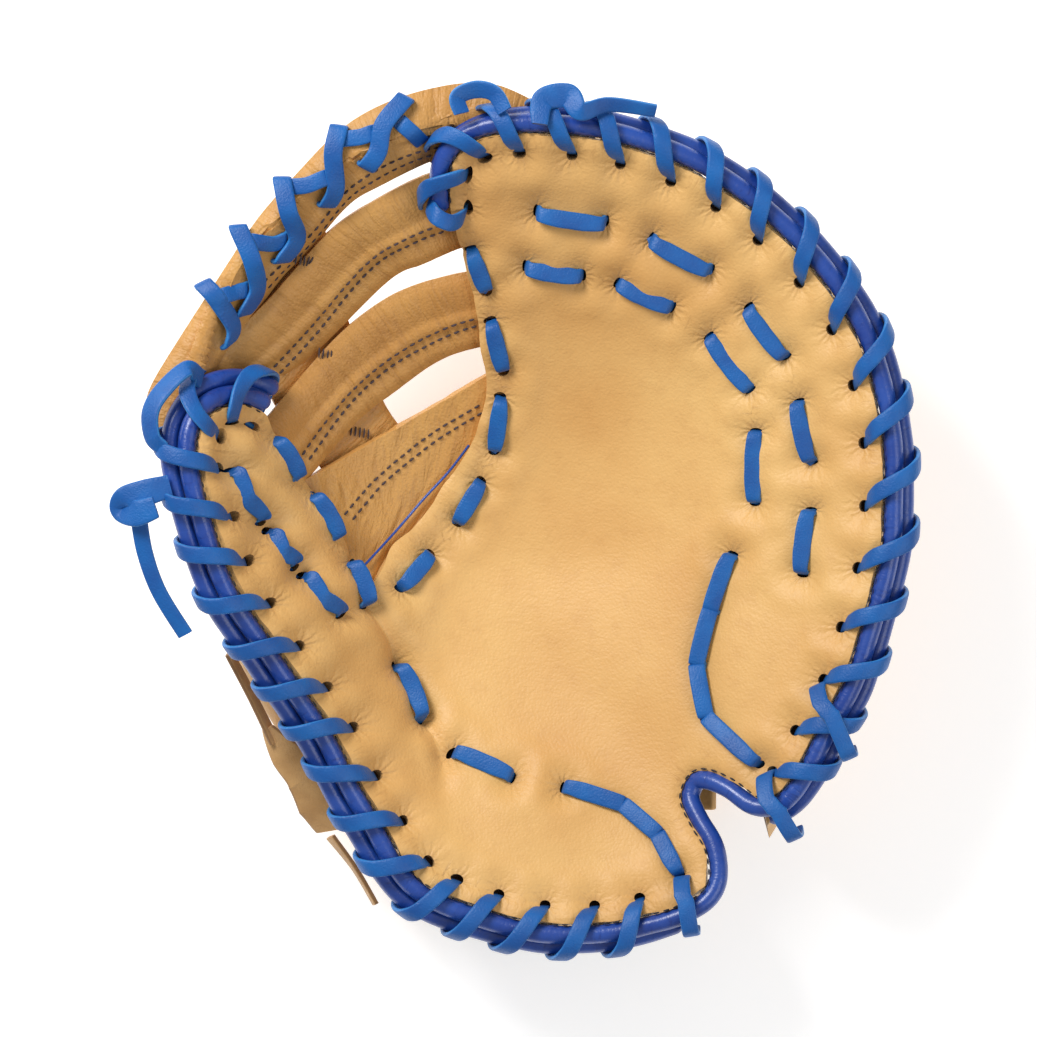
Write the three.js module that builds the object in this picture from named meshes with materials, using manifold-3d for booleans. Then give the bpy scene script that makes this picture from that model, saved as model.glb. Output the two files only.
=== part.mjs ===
// A first baseman mitt for the left hand, lying on its back with the pocket open upwards.
// X points to the little finger side, Y to the finger tips and Z out of the pocket.
// Tables give places as shares of the half width (u), the half length (v) and named sizes.
import * as THREE from "three";
import { mergeVertices } from "three/addons/utils/BufferGeometryUtils.js";
import Module from "manifold-3d";

const wasm = await Module();
wasm.setup();

// Driving sizes in millimetres
const HALF_WIDTH = 132;
const HALF_LENGTH = 143.5;
const RIM_HEIGHT = 92;
const POCKET_HEIGHT = 32;
const BOWL_POWER = 1.8;
const PALM_THICKNESS = 4.6;
const SHELL_WALL = 3;
const WEB_THICKNESS = 3;
const STRAP_THICKNESS = 3;
const STRAP_WIDTH = 30;
const ROLL_RADIUS = 3.1;
const LACE_WIDTH = 5.6;
const LACE_THICKNESS = 1.7;
const TAIL_WIDTH = 5.2;
const HOLE_INSET = 5.2;
const WEB_TUCK = 9;
const GAP = 0.3;
const ROLL_SPACE = 0.45;

// Fineness of the faceted solids
const DISH_RINGS = 6;
const DISH_SECTORS = 28;
const BRIM_SHARE = 1.16;
const ROLL_SIDES = 6;
const ROLL_STEPS = 28;
const NOTCH_STEPS = 16;
const TURN_STEPS = 8;
const WHIP_SQUARE = 0.7;
const WEB_ACROSS = 2;
const STRAP_STEPS = 8;
const MERGE_DISTANCE = 1e-4;
const CUT_CLEARANCE = 0.9 * GAP;
const LACE_CLEARANCE = 0.35;
const LACE_REST = 0.9;
const FADE_POWER = 4;
const OUTLINE_STEPS = { thumb: 30, notch: 9, finger: 34, web: 18 };

const UP = new THREE.Vector3(0, 0, 1);

// Pocket: the deepest point, and the rim round it at every 15 degrees from +X towards +Y.
// reach is the rim's distance in shares, rise its height as a share of RIM_HEIGHT,
// bulge how far the back swells past the rim as a share of the width of both rolls.
const POCKET = { u: -0.151, v: -0.105 };
const RIM = [
  { reach: 1.045, rise: 0.86, bulge: 0.3 },
  { reach: 1.095, rise: 0.89, bulge: 0.3 },
  { reach: 1.119, rise: 0.9, bulge: 0.3 },
  { reach: 1.097, rise: 0.91, bulge: 0.3 },
  { reach: 1.063, rise: 0.94, bulge: 0.3 },
  { reach: 1.016, rise: 0.99, bulge: 0.3 },
  { reach: 1.0, rise: 1.0, bulge: 0.3 },
  { reach: 0.96, rise: 0.97, bulge: 0.3 },
  { reach: 0.9, rise: 0.95, bulge: 0.3 },
  { reach: 0.83, rise: 0.95, bulge: 0.3 },
  { reach: 0.73, rise: 0.98, bulge: 0.3 },
  { reach: 0.651, rise: 1.0, bulge: 0.4 },
  { reach: 0.574, rise: 0.96, bulge: 0.6 },
  { reach: 0.516, rise: 0.9, bulge: 0.9 },
  { reach: 0.482, rise: 0.83, bulge: 1.15 },
  { reach: 0.491, rise: 0.76, bulge: 1.2 },
  { reach: 0.543, rise: 0.7, bulge: 1.15 },
  { reach: 0.656, rise: 0.66, bulge: 0.6 },
  { reach: 0.776, rise: 0.65, bulge: 0.3 },
  { reach: 0.86, rise: 0.65, bulge: 0.2 },
  { reach: 0.937, rise: 0.66, bulge: 0.2 },
  { reach: 0.991, rise: 0.7, bulge: 0.2 },
  { reach: 0.97, rise: 0.77, bulge: 0.3 },
  { reach: 1.0, rise: 0.82, bulge: 0.3 },
];

// Pads and creases of the front leather: swell is a share of PALM_THICKNESS.
const PADS = [
  { u: -0.55, v: -0.26, spread: 0.16, swell: 0.9 },
  { u: 0.0, v: -0.72, spread: 0.2, swell: 1.1 },
  { u: 0.62, v: -0.32, spread: 0.2, swell: 0.8 },
  { u: 0.36, v: 0.64, spread: 0.2, swell: 0.5 },
  { u: -0.3, v: -0.36, spread: 0.12, swell: -0.8 },
  { u: 0.12, v: 0.06, spread: 0.3, swell: -0.5 },
];

// Outline of the front leather, in stretches that follow each other against the clock
const THUMB_TIP = [
  { u: -0.641, v: 0.24 },
  { u: -0.689, v: 0.261 },
  { u: -0.746, v: 0.252 },
  { u: -0.786, v: 0.213 },
];
const THUMB_SIDE = [
  { u: -0.795, v: 0.134 },
  { u: -0.749, v: -0.036 },
  { u: -0.699, v: -0.16 },
  { u: -0.614, v: -0.279 },
  { u: -0.556, v: -0.36 },
  { u: -0.464, v: -0.491 },
  { u: -0.404, v: -0.603 },
  { u: -0.346, v: -0.693 },
  { u: -0.286, v: -0.79 },
  { u: -0.219, v: -0.852 },
];
const HEEL = [
  { u: -0.081, v: -0.902 },
  { u: 0.061, v: -0.934 },
  { u: 0.214, v: -0.934 },
  { u: 0.316, v: -0.916 },
  { u: 0.399, v: -0.893 },
];
const NOTCH = [
  { u: 0.47, v: -0.849 },
  { u: 0.469, v: -0.771 },
  { u: 0.431, v: -0.709 },
  { u: 0.404, v: -0.647 },
  { u: 0.429, v: -0.59 },
  { u: 0.474, v: -0.578 },
  { u: 0.539, v: -0.601 },
];
const LOBE = [
  { u: 0.609, v: -0.645 },
  { u: 0.654, v: -0.629 },
  { u: 0.694, v: -0.578 },
];
const FINGER_SIDE = [
  { u: 0.759, v: -0.459 },
  { u: 0.816, v: -0.36 },
  { u: 0.879, v: -0.164 },
  { u: 0.904, v: -0.056 },
  { u: 0.909, v: 0.072 },
  { u: 0.906, v: 0.18 },
  { u: 0.879, v: 0.314 },
  { u: 0.834, v: 0.429 },
  { u: 0.759, v: 0.539 },
  { u: 0.666, v: 0.636 },
  { u: 0.549, v: 0.728 },
  { u: 0.429, v: 0.797 },
  { u: 0.316, v: 0.838 },
  { u: 0.204, v: 0.866 },
  { u: 0.079, v: 0.879 },
];
const FINGER_TIP = [
  { u: -0.056, v: 0.877 },
  { u: -0.126, v: 0.854 },
  { u: -0.164, v: 0.813 },
  { u: -0.171, v: 0.755 },
  { u: -0.166, v: 0.709 },
];
const PALM_EDGE = [
  { u: -0.146, v: 0.645 },
  { u: -0.124, v: 0.569 },
  { u: -0.096, v: 0.433 },
  { u: -0.081, v: 0.295 },
  { u: -0.109, v: 0.192 },
  { u: -0.184, v: 0.077 },
  { u: -0.249, v: -0.008 },
  { u: -0.321, v: -0.072 },
];
const THUMB_EDGE = [
  { u: -0.372, v: -0.16 },
  { u: -0.399, v: -0.137 },
  { u: -0.444, v: -0.04 },
  { u: -0.514, v: 0.056 },
  { u: -0.571, v: 0.134 },
];

// Web bars and the strips behind them: each row is a line across, from the outer to the inner edge.
// drop is how far the row lies under the dish, as a share of PALM_THICKNESS.
const TOP_BAR = [
  { u: -0.9, v: 0.165, toU: -0.815, toV: 0.165, drop: 2.6 },
  { u: -0.926, v: 0.275, toU: -0.785, toV: 0.249, drop: 2.6 },
  { u: -0.861, v: 0.385, toU: -0.741, toV: 0.332, drop: 2.2 },
  { u: -0.726, v: 0.576, toU: -0.621, toV: 0.534, drop: 1.3 },
  { u: -0.649, v: 0.686, toU: -0.541, toV: 0.617, drop: 1.3 },
  { u: -0.546, v: 0.794, toU: -0.444, toV: 0.723, drop: 1.3 },
  { u: -0.446, v: 0.889, toU: -0.366, toV: 0.774, drop: 1.3 },
  { u: -0.334, v: 0.951, toU: -0.286, toV: 0.81, drop: 1.6 },
  { u: -0.196, v: 0.99, toU: -0.196, toV: 0.831, drop: 2.4 },
  { u: -0.066, v: 0.997, toU: -0.101, toV: 0.831, drop: 2.6 },
  { u: 0.03, v: 0.96, toU: -0.016, toV: 0.831, drop: 2.6 },
];
const SECOND_BAR = [
  { u: -0.754, v: 0.325, toU: -0.62, toV: 0.242, drop: 2.6 },
  { u: -0.616, v: 0.477, toU: -0.481, toV: 0.387, drop: 1.2 },
  { u: -0.466, v: 0.64, toU: -0.319, toV: 0.541, drop: 0.95 },
  { u: -0.346, v: 0.716, toU: -0.236, toV: 0.576, drop: 0.95 },
  { u: -0.216, v: 0.76, toU: -0.146, toV: 0.599, drop: 1.8 },
  { u: -0.096, v: 0.772, toU: -0.056, toV: 0.613, drop: 2.4 },
];
const THIRD_BAR = [
  { u: -0.646, v: 0.185, toU: -0.554, toV: 0.046, drop: 0.95 },
  { u: -0.509, v: 0.341, toU: -0.406, toV: 0.213, drop: 0.95 },
  { u: -0.411, v: 0.436, toU: -0.309, toV: 0.286, drop: 0.95 },
  { u: -0.291, v: 0.511, toU: -0.196, toV: 0.36, drop: 0.95 },
  { u: -0.146, v: 0.551, toU: -0.084, toV: 0.392, drop: 0.95 },
  { u: -0.036, v: 0.562, toU: -0.006, toV: 0.399, drop: 0.95 },
];
const WEB_BASE = [
  { u: -0.52, v: 0.09, toU: -0.006, toV: 0.365, drop: 0.95 },
  { u: -0.5, v: 0.03, toU: -0.03, toV: 0.235, drop: 0.95 },
  { u: -0.47, v: -0.04, toU: -0.09, toV: 0.09, drop: 0.95 },
  { u: -0.44, v: -0.11, toU: -0.21, toV: -0.05, drop: 0.95 },
  { u: -0.42, v: -0.19, toU: -0.3, toV: -0.17, drop: 0.95 },
];
const POST = [
  { u: -0.691, v: 0.56, toU: -0.535, toV: 0.73, drop: 2.75 },
  { u: -0.634, v: 0.48, toU: -0.469, toV: 0.66, drop: 2.4 },
  { u: -0.579, v: 0.277, toU: -0.416, toV: 0.445, drop: 1.9 },
  { u: -0.471, v: 0.134, toU: -0.331, toV: 0.256, drop: 1.9 },
  { u: -0.421, v: 0.061, toU: -0.276, toV: 0.18, drop: 1.9 },
];

// Running laces: each row is a stretch that shows on the front, and the lace dips between rows.
const PALM_LACE_OUTER = [
  { u: 0.049, v: 0.709, toU: 0.216, toV: 0.686 },
  { u: 0.336, v: 0.645, toU: 0.479, toV: 0.576 },
  { u: 0.579, v: 0.486, toU: 0.669, toV: 0.376 },
  { u: 0.704, v: 0.268, toU: 0.736, toV: 0.134 },
  { u: 0.734, v: 0.017, toU: 0.714, toV: -0.125 },
];
const PALM_LACE_INNER = [
  { u: 0.021, v: 0.585, toU: 0.159, toV: 0.567 },
  { u: 0.254, v: 0.548, toU: 0.386, toV: 0.493 },
  { u: 0.484, v: 0.422, toU: 0.584, toV: 0.302 },
  { u: 0.601, v: 0.201, toU: 0.599, toV: 0.04 },
  { u: 0.539, v: -0.086, toU: 0.5, toV: -0.192 },
  { u: 0.484, v: -0.235, toU: 0.46, toV: -0.318 },
  { u: 0.454, v: -0.362, toU: 0.471, toV: -0.442 },
  { u: 0.49, v: -0.476, toU: 0.546, toV: -0.522 },
];
const HEEL_LACE = [
  { u: 0.116, v: -0.626, toU: 0.246, toV: -0.656 },
  { u: 0.284, v: -0.676, toU: 0.342, toV: -0.719 },
  { u: 0.366, v: -0.749, toU: 0.404, toV: -0.821 },
];
const HEEL_STITCH = [{ u: -0.161, v: -0.546, toU: -0.019, toV: -0.601 }];
const WEB_EDGE_LACE = [
  { u: -0.116, v: 0.62, toU: -0.079, toV: 0.532 },
  { u: -0.067, v: 0.456, toU: -0.038, toV: 0.348 },
  { u: -0.045, v: 0.279, toU: -0.062, toV: 0.162 },
  { u: -0.097, v: 0.086, toU: -0.155, toV: -0.008 },
  { u: -0.226, v: -0.083, toU: -0.3, toV: -0.16 },
];
const CREASE_STITCH = [{ u: -0.306, v: -0.346, toU: -0.246, toV: -0.463 }];
const THUMB_LACE = [
  { u: -0.716, v: 0.107, toU: -0.649, toV: -0.002 },
  { u: -0.625, v: -0.036, toU: -0.567, toV: -0.105 },
  { u: -0.537, v: -0.138, toU: -0.454, toV: -0.22 },
];
const THUMB_WEB_LACE = [
  { u: -0.612, v: 0.18, toU: -0.559, toV: 0.093 },
  { u: -0.519, v: 0.051, toU: -0.46, toV: -0.046 },
  { u: -0.425, v: -0.105, toU: -0.385, toV: -0.2 },
];

// Whipped laces: the share of the rim's length where each hole lies.
// lean is how far a turn's outer end lies ahead of its hole, as a share of the way to the next.
const FINGER_WHIP = {
  lean: 0.2,
  holes: [
    0.032, 0.079, 0.136, 0.192, 0.252, 0.316, 0.379, 0.438, 0.5, 0.558, 0.618, 0.672, 0.725, 0.779,
    0.829, 0.881, 0.921, 0.962, 0.998,
  ],
};
const THUMB_WHIP = {
  lean: 0.2,
  holes: [
    0.959, 0.901, 0.839, 0.779, 0.725, 0.674, 0.613, 0.551, 0.487, 0.432, 0.374, 0.313, 0.252, 0.196,
    0.135, 0.088, 0.043, 0.004,
  ],
};

// How far the back roll lies beside the front one along a rim, as a share of their distance.
// Where that is less than one, it lies partly under the front roll.
const FINGER_STACK = [
  { share: 0, side: 0.5 },
  { share: 0.08, side: 0.6 },
  { share: 0.85, side: 0.5 },
  { share: 0.94, side: 0.1 },
  { share: 1, side: 0 },
];
const THUMB_STACK = [
  { share: 0, side: 0.8 },
  { share: 0.1, side: 0.88 },
  { share: 0.6, side: 0.88 },
  { share: 0.78, side: 0.6 },
  { share: 1, side: 0.4 },
];

// Lace round the top bar: share of the bar's length at its first and last turn
const BAR_WHIP = { first: 0.24, last: 0.78, turns: 5, lean: 0.4, outer: -0.09, inner: 0.6, step: 0.01 };

// Loops, knots and tails: lift is the height over the dish as a share of the rolls' diameter,
// tilt turns the flat side out of the surface, in quarter turns.
const FINGER_LOOP = [
  { u: -0.15, v: 0.89, lift: 0.8, tilt: 0.9 },
  { u: -0.175, v: 0.95, lift: 0.4, tilt: 0.9 },
  { u: -0.115, v: 0.985, lift: 0.3, tilt: 0.9 },
  { u: -0.045, v: 0.97, lift: 0.5, tilt: 0.9 },
  { u: -0.02, v: 0.905, lift: 0.85, tilt: 0.9 },
];
const TOP_KNOT = [
  { u: 0.065, v: 0.92, lift: 1.2, tilt: 0 },
  { u: 0.085, v: 0.97, lift: 0.8, tilt: 0.1 },
  { u: 0.14, v: 0.958, lift: 0.8, tilt: 0.3 },
  { u: 0.22, v: 0.947, lift: 0.95, tilt: 0.5 },
  { u: 0.335, v: 0.934, lift: 1.1, tilt: 0.5 },
];
const THUMB_LOOP = [
  { u: -0.79, v: 0.33, lift: -1.15, tilt: 0.9 },
  { u: -0.835, v: 0.36, lift: 0.5, tilt: 0.9 },
  { u: -0.905, v: 0.3, lift: 0.75, tilt: 0.9 },
  { u: -0.945, v: 0.23, lift: 0.75, tilt: 0.9 },
  { u: -0.935, v: 0.165, lift: 0.65, tilt: 0.9 },
  { u: -0.895, v: 0.16, lift: 0.5, tilt: 0.9 },
];
const THUMB_KNOT = [
  { u: -0.87, v: 0.085, lift: 0.3, tilt: 0 },
  { u: -0.97, v: 0.055, lift: 0.2, tilt: 0 },
  { u: -0.965, v: -0.01, lift: -0.1, tilt: 0.3 },
  { u: -0.94, v: -0.08, lift: -0.2, tilt: 0.5 },
  { u: -0.9, v: -0.17, lift: -0.2, tilt: 0.5 },
  { u: -0.83, v: -0.268, lift: -0.2, tilt: 0.5 },
];
const STRAP_LACE = [
  { u: -0.7, v: -0.36, lift: -3.6, tilt: 0.85 },
  { u: -0.64, v: -0.45, lift: -3.6, tilt: 0.85 },
  { u: -0.58, v: -0.545, lift: -3.6, tilt: 0.8 },
  { u: -0.515, v: -0.6, lift: -3.5, tilt: 0.1, wide: 2.8 },
  { u: -0.47, v: -0.68, lift: -3.5, tilt: 0.1, wide: 3.1 },
  { u: -0.445, v: -0.755, lift: -3.6, tilt: 0.7 },
  { u: -0.395, v: -0.82, lift: -3.6, tilt: 0.85 },
  { u: -0.35, v: -0.9, lift: -3.6, tilt: 0.85 },
];

// Profile of the back from the floor to the rim: reach is a share of the rim's distance,
// out a share of the bulge, rise a share of the rim's height under the rolls.
const BACK_PROFILE = [
  { reach: 0.6, out: 0, rise: 0 },
  { reach: 0.8, out: 0, rise: 0.06 },
  { reach: 0.93, out: 0.5, rise: 0.28 },
  { reach: 1, out: 1, rise: 0.58 },
  { reach: 1, out: 0.35, rise: 0.8 },
  { reach: 1, out: 0.1, rise: 0.93 },
];

// Wrist opening through the back, as shares
const WRIST = { fromU: -0.22, toU: 0.4, fromV: -1.3, toV: -0.42, rise: 0.42 };
const STRAP = { fromU: -0.29, toU: 0.5, v: -0.58 };

// Table rows as plan points in millimetres
function plan(rows) {
  return rows.map((row) => new THREE.Vector2(row.u * HALF_WIDTH, row.v * HALF_LENGTH));
}

// Value of a column of the rim table at an angle, smooth between its rows
function rimValue(angle, column) {
  const count = RIM.length;
  const place = (((angle / (2 * Math.PI)) % 1) + 1) % 1 * count;
  const base = Math.floor(place);
  const t = place - base;
  const [a, b, c, d] = [-1, 0, 1, 2].map((step) => RIM[(base + step + count) % count][column]);
  const bend = 2 * a - 5 * b + 4 * c - d + t * (3 * (b - c) + d - a);
  return b + 0.5 * t * (c - a + t * bend);
}

// Height of the middle of the front leather over a plan point
function dishHeight(x, y) {
  const du = x / HALF_WIDTH - POCKET.u;
  const dv = y / HALF_LENGTH - POCKET.v;
  const angle = Math.atan2(dv, du);
  const share = Math.min(1, Math.hypot(du, dv) / rimValue(angle, "reach"));
  const rim = RIM_HEIGHT * rimValue(angle, "rise");
  const bowl = POCKET_HEIGHT + (rim - POCKET_HEIGHT) * share ** BOWL_POWER;
  const fade = 1 - share ** FADE_POWER;
  const pads = PADS.reduce((sum, pad) => {
    const away = Math.hypot(x / HALF_WIDTH - pad.u, y / HALF_LENGTH - pad.v) / pad.spread;
    return sum + pad.swell * PALM_THICKNESS * Math.exp(-away * away);
  }, 0);
  return bowl + fade * pads;
}

// Upward normal of the dish
function dishNormal(x, y) {
  const step = 1;
  const slopeX = (dishHeight(x + step, y) - dishHeight(x - step, y)) / (2 * step);
  const slopeY = (dishHeight(x, y + step) - dishHeight(x, y - step)) / (2 * step);
  return new THREE.Vector3(-slopeX, -slopeY, 1).normalize();
}

// Closed solid of a three.js geometry, its faces turned outwards
function solid(geometry) {
  geometry.deleteAttribute("normal");
  geometry.deleteAttribute("uv");
  const merged = mergeVertices(geometry, MERGE_DISTANCE);
  const index = merged.index.array;
  const kept = [];
  for (let i = 0; i < index.length; i += 3) {
    const [a, b, c] = [index[i], index[i + 1], index[i + 2]];
    if (a !== b && b !== c && c !== a) kept.push([a, b, c]);
  }
  const build = (triangles) =>
    new wasm.Manifold(
      new wasm.Mesh({
        numProp: 3,
        vertProperties: new Float32Array(merged.attributes.position.array),
        triVerts: new Uint32Array(triangles.flat()),
      }),
    );
  const made = build(kept);
  return made.volume() > 0 ? made : build(kept.map(([a, b, c]) => [a, c, b]));
}

// The largest body of a solid, without the slivers that a cut leaves loose
function mainBody(made) {
  return made.decompose().reduce((best, body) => (body.volume() > best.volume() ? body : best));
}

// Solid of revolution whose rings are moved to their real places: place(row, angle) gives a point
function moulded(rows, sectors, place) {
  const flat = [];
  for (let row = 0; row < rows; row += 1) {
    const onAxis = row === 0 || row === rows - 1;
    flat.push(new THREE.Vector2(onAxis ? 0 : 1, row));
  }
  const geometry = new THREE.LatheGeometry(flat, sectors);
  const position = geometry.attributes.position;
  for (let i = 0; i < position.count; i += 1) {
    const row = i % rows;
    const angle = ((Math.floor(i / rows) % sectors) / sectors) * 2 * Math.PI;
    const point = place(row, angle);
    position.setXYZ(i, point.x, point.y, point.z);
  }
  return solid(geometry);
}

// Plan point at an angle and a share of the rim's distance, moved outwards by some millimetres
function polar(angle, share, out = 0) {
  const reach = share * rimValue(angle, "reach");
  const x = (POCKET.u + reach * Math.cos(angle)) * HALF_WIDTH;
  const y = (POCKET.v + reach * Math.sin(angle)) * HALF_LENGTH;
  const away = new THREE.Vector2(Math.cos(angle) * HALF_WIDTH, Math.sin(angle) * HALF_LENGTH);
  away.normalize().multiplyScalar(out);
  return new THREE.Vector2(x + away.x, y + away.y);
}

// Upright prism of a plan outline between two heights
function prism(points, from, to) {
  const shape = new THREE.Shape(points);
  const geometry = new THREE.ExtrudeGeometry(shape, { depth: to - from, bevelEnabled: false });
  geometry.translate(0, 0, from);
  return solid(geometry);
}

// Plan outline moved sideways by some millimetres, outwards where positive
function grown(points, distance) {
  const turned = THREE.ShapeUtils.isClockWise(points) ? -distance : distance;
  return points.map((point, i) => {
    const before = points[(i + points.length - 1) % points.length];
    const after = points[(i + 1) % points.length];
    const along = after.clone().sub(before).normalize();
    return new THREE.Vector2(point.x + along.y * turned, point.y - along.x * turned);
  });
}

// Smooth plan curve through table rows
function smooth(rows, steps) {
  return new THREE.SplineCurve(plan(rows)).getSpacedPoints(steps);
}

// Point of a strip's cross section at station k: x and y run from -0.5 to 0.5
function sectionPoint(stations, k, x, y, width, thickness) {
  const before = stations[Math.max(0, k - 1)].at;
  const after = stations[Math.min(stations.length - 1, k + 1)].at;
  const along = after.clone().sub(before).normalize();
  const { at, side, wide = 1 } = stations[k];
  const lean = side.dot(along);
  const up = new THREE.Vector3().crossVectors(along, side).normalize();
  const breadth = (x * width * wide) / Math.sqrt(1 - lean * lean);
  return at.clone().addScaledVector(side, breadth).addScaledVector(up, y * thickness);
}

// Flat strip through stations that give a point and the direction of its width
function strip(stations, width, thickness) {
  const steps = stations.length - 1;
  const geometry = new THREE.BoxGeometry(1, 1, 1, 1, 1, steps);
  const position = geometry.attributes.position;
  for (let i = 0; i < position.count; i += 1) {
    const k = Math.round((position.getZ(i) + 0.5) * steps);
    const [x, y] = [position.getX(i), position.getY(i)];
    const point = sectionPoint(stations, k, x, y, width, thickness);
    position.setXYZ(i, point.x, point.y, point.z);
  }
  return solid(geometry);
}

// A strip and the same strip grown by the clearance, which cuts its way through other pieces
function laceOf(stations, width = LACE_WIDTH) {
  return {
    body: strip(stations, width, LACE_THICKNESS),
    cutter: strip(stations, width + 2 * LACE_CLEARANCE, LACE_THICKNESS + 2 * LACE_CLEARANCE),
  };
}

// Round roll along a curve in space
function roll(curve, radius, steps) {
  const ring = [];
  for (let side = 0; side < ROLL_SIDES; side += 1) {
    const turn = (side / ROLL_SIDES) * 2 * Math.PI;
    ring.push(new THREE.Vector2(radius * Math.cos(turn), radius * Math.sin(turn)));
  }
  const geometry = new THREE.ExtrudeGeometry(new THREE.Shape(ring), {
    steps,
    extrudePath: curve,
    bevelEnabled: false,
  });
  return solid(geometry);
}

// Point at a plan place, some millimetres over the dish along its normal
function overDish(place, lift) {
  const at = new THREE.Vector3(place.x, place.y, dishHeight(place.x, place.y));
  return at.addScaledVector(dishNormal(place.x, place.y), lift);
}

// Point beside a rim curve: out is sideways in plan, up is the height over the front leather
function beside(curve, share, out, up) {
  const t = Math.min(1, Math.max(0, share));
  const base = curve.getPointAt(t);
  const along = curve.getTangentAt(t);
  const outward = new THREE.Vector2(along.y, -along.x);
  const place = base.clone().addScaledVector(outward, out);
  const under = out > 0 ? base : place;
  return new THREE.Vector3(place.x, place.y, dishHeight(under.x, under.y) + up);
}

// Rim curves: both run from the tip towards the heel, so their outsides lie on opposite hands
const thumbRim = new THREE.SplineCurve(plan([...THUMB_TIP, ...THUMB_SIDE, ...HEEL]));
const fingerRows = [...LOBE, ...FINGER_SIDE, ...FINGER_TIP];
const fingerRim = new THREE.SplineCurve(plan(fingerRows));
const notchRim = new THREE.SplineCurve(plan([...HEEL.slice(-1), ...NOTCH, ...LOBE.slice(0, 1)]));

// Places of the two rolls beside the rim
const ROLL_STEP = 2 * ROLL_RADIUS + ROLL_SPACE;
const FRONT_ROLL = { out: ROLL_RADIUS + 2 * GAP, up: 0 };

function backRoll(stack, share) {
  const t = Math.min(1, Math.max(0, share));
  const k = Math.max(1, stack.findIndex((row) => row.share >= t));
  const [from, to] = [stack[k - 1], stack[k]];
  const side = from.side + ((to.side - from.side) * (t - from.share)) / (to.share - from.share);
  const under = Math.sqrt(1 - side * side);
  return { out: FRONT_ROLL.out + side * ROLL_STEP, up: -under * ROLL_STEP };
}

function rimRoll({ curve, stack, steps = ROLL_STEPS, from = 0, to = 1 }, radius) {
  const points = [];
  for (let i = 0; i <= steps; i += 1) {
    const share = from + ((to - from) * i) / steps;
    const place = stack ? backRoll(stack, share) : FRONT_ROLL;
    points.push(beside(curve, share, place.out, place.up));
  }
  return roll(new THREE.CatmullRomCurve3(points), radius, steps);
}

// Whipped lace: turns of an oval round the leather edge and both rolls
// over, beside and below are in thicknesses of the lace, leastSide in steps between the rolls.
const WHIP_CLEAR = { over: 1.35, beside: 0.8, below: 2.6, leastSide: 0.3 };
const WHIP_OVER = ROLL_RADIUS + GAP + WHIP_CLEAR.over * LACE_THICKNESS;
const WHIP_BESIDE = ROLL_RADIUS + GAP + WHIP_CLEAR.beside * LACE_THICKNESS;
const WHIP_BELOW = ROLL_RADIUS + GAP + WHIP_CLEAR.below * LACE_THICKNESS;

function whippedStations(curve, { lean, holes }, stack) {
  const last = holes.length - 2;
  const stations = [];
  for (let i = 0; i <= (holes.length - 1) * TURN_STEPS; i += 1) {
    const turn = (i / TURN_STEPS) * 2 * Math.PI;
    const hole = Math.min(last, Math.floor(i / TURN_STEPS));
    const onward = i / TURN_STEPS - hole + lean * (1 - Math.cos(turn)) * 0.5;
    const share = holes[hole] + onward * (holes[hole + 1] - holes[hole]);
    const place = backRoll(stack, share);
    const far = Math.max(place.out, FRONT_ROLL.out + WHIP_CLEAR.leastSide * ROLL_STEP) + WHIP_BESIDE;
    const low = place.up - WHIP_BELOW;
    const out = (far - HOLE_INSET) / 2 - ((far + HOLE_INSET) / 2) * squared(Math.cos(turn));
    const up = (WHIP_OVER + low) / 2 + ((WHIP_OVER - low) / 2) * squared(Math.sin(turn));
    const at = beside(curve, share, out, up);
    stations.push({ at, side: rimDirection(curve, share, out, up) });
  }
  return stations;
}

// A sine or cosine with its oval drawn towards a square
function squared(value) {
  return Math.sign(value) * Math.abs(value) ** WHIP_SQUARE;
}

// Lace wound round the outer part of the top bar, through a hole at each turn
function barStations() {
  const outer = new THREE.SplineCurve(plan(TOP_BAR));
  const inner = new THREE.SplineCurve(plan(TOP_BAR.map((row) => ({ u: row.toU, v: row.toV }))));
  const { first, last, turns, lean } = BAR_WHIP;
  const pitch = (last - first) / (turns - 1);
  const rise = WEB_THICKNESS / 2 + GAP + LACE_REST + LACE_THICKNESS / 2;
  const middle = (BAR_WHIP.inner + BAR_WHIP.outer) / 2;
  const half = (BAR_WHIP.inner - BAR_WHIP.outer) / 2;
  const point = (share, across, lift) => {
    const t = Math.min(1, Math.max(0, share));
    const k = Math.min(TOP_BAR.length - 2, Math.floor(t * (TOP_BAR.length - 1)));
    const between = t * (TOP_BAR.length - 1) - k;
    const drop = TOP_BAR[k].drop + (TOP_BAR[k + 1].drop - TOP_BAR[k].drop) * between;
    const place = outer.getPoint(t).lerp(inner.getPoint(t), across);
    return overDish(place, lift - drop * PALM_THICKNESS);
  };
  const stations = [];
  for (let i = 0; i <= (turns - 1) * TURN_STEPS; i += 1) {
    const turn = (i / TURN_STEPS) * 2 * Math.PI;
    const share = first + (i / TURN_STEPS + lean * (1 - Math.cos(turn)) * 0.5) * pitch;
    const across = middle + half * squared(Math.cos(turn));
    const lift = rise * squared(Math.sin(turn));
    const at = point(share, across, lift);
    stations.push({ at, side: point(share + BAR_WHIP.step, across, lift).sub(at).normalize() });
  }
  return stations;
}

// Direction along the rim beside a rim curve
function rimDirection(curve, share, out, up) {
  const step = 0.002;
  const behind = beside(curve, share - step, out, up);
  return beside(curve, share + step, out, up).sub(behind).normalize();
}

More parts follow.
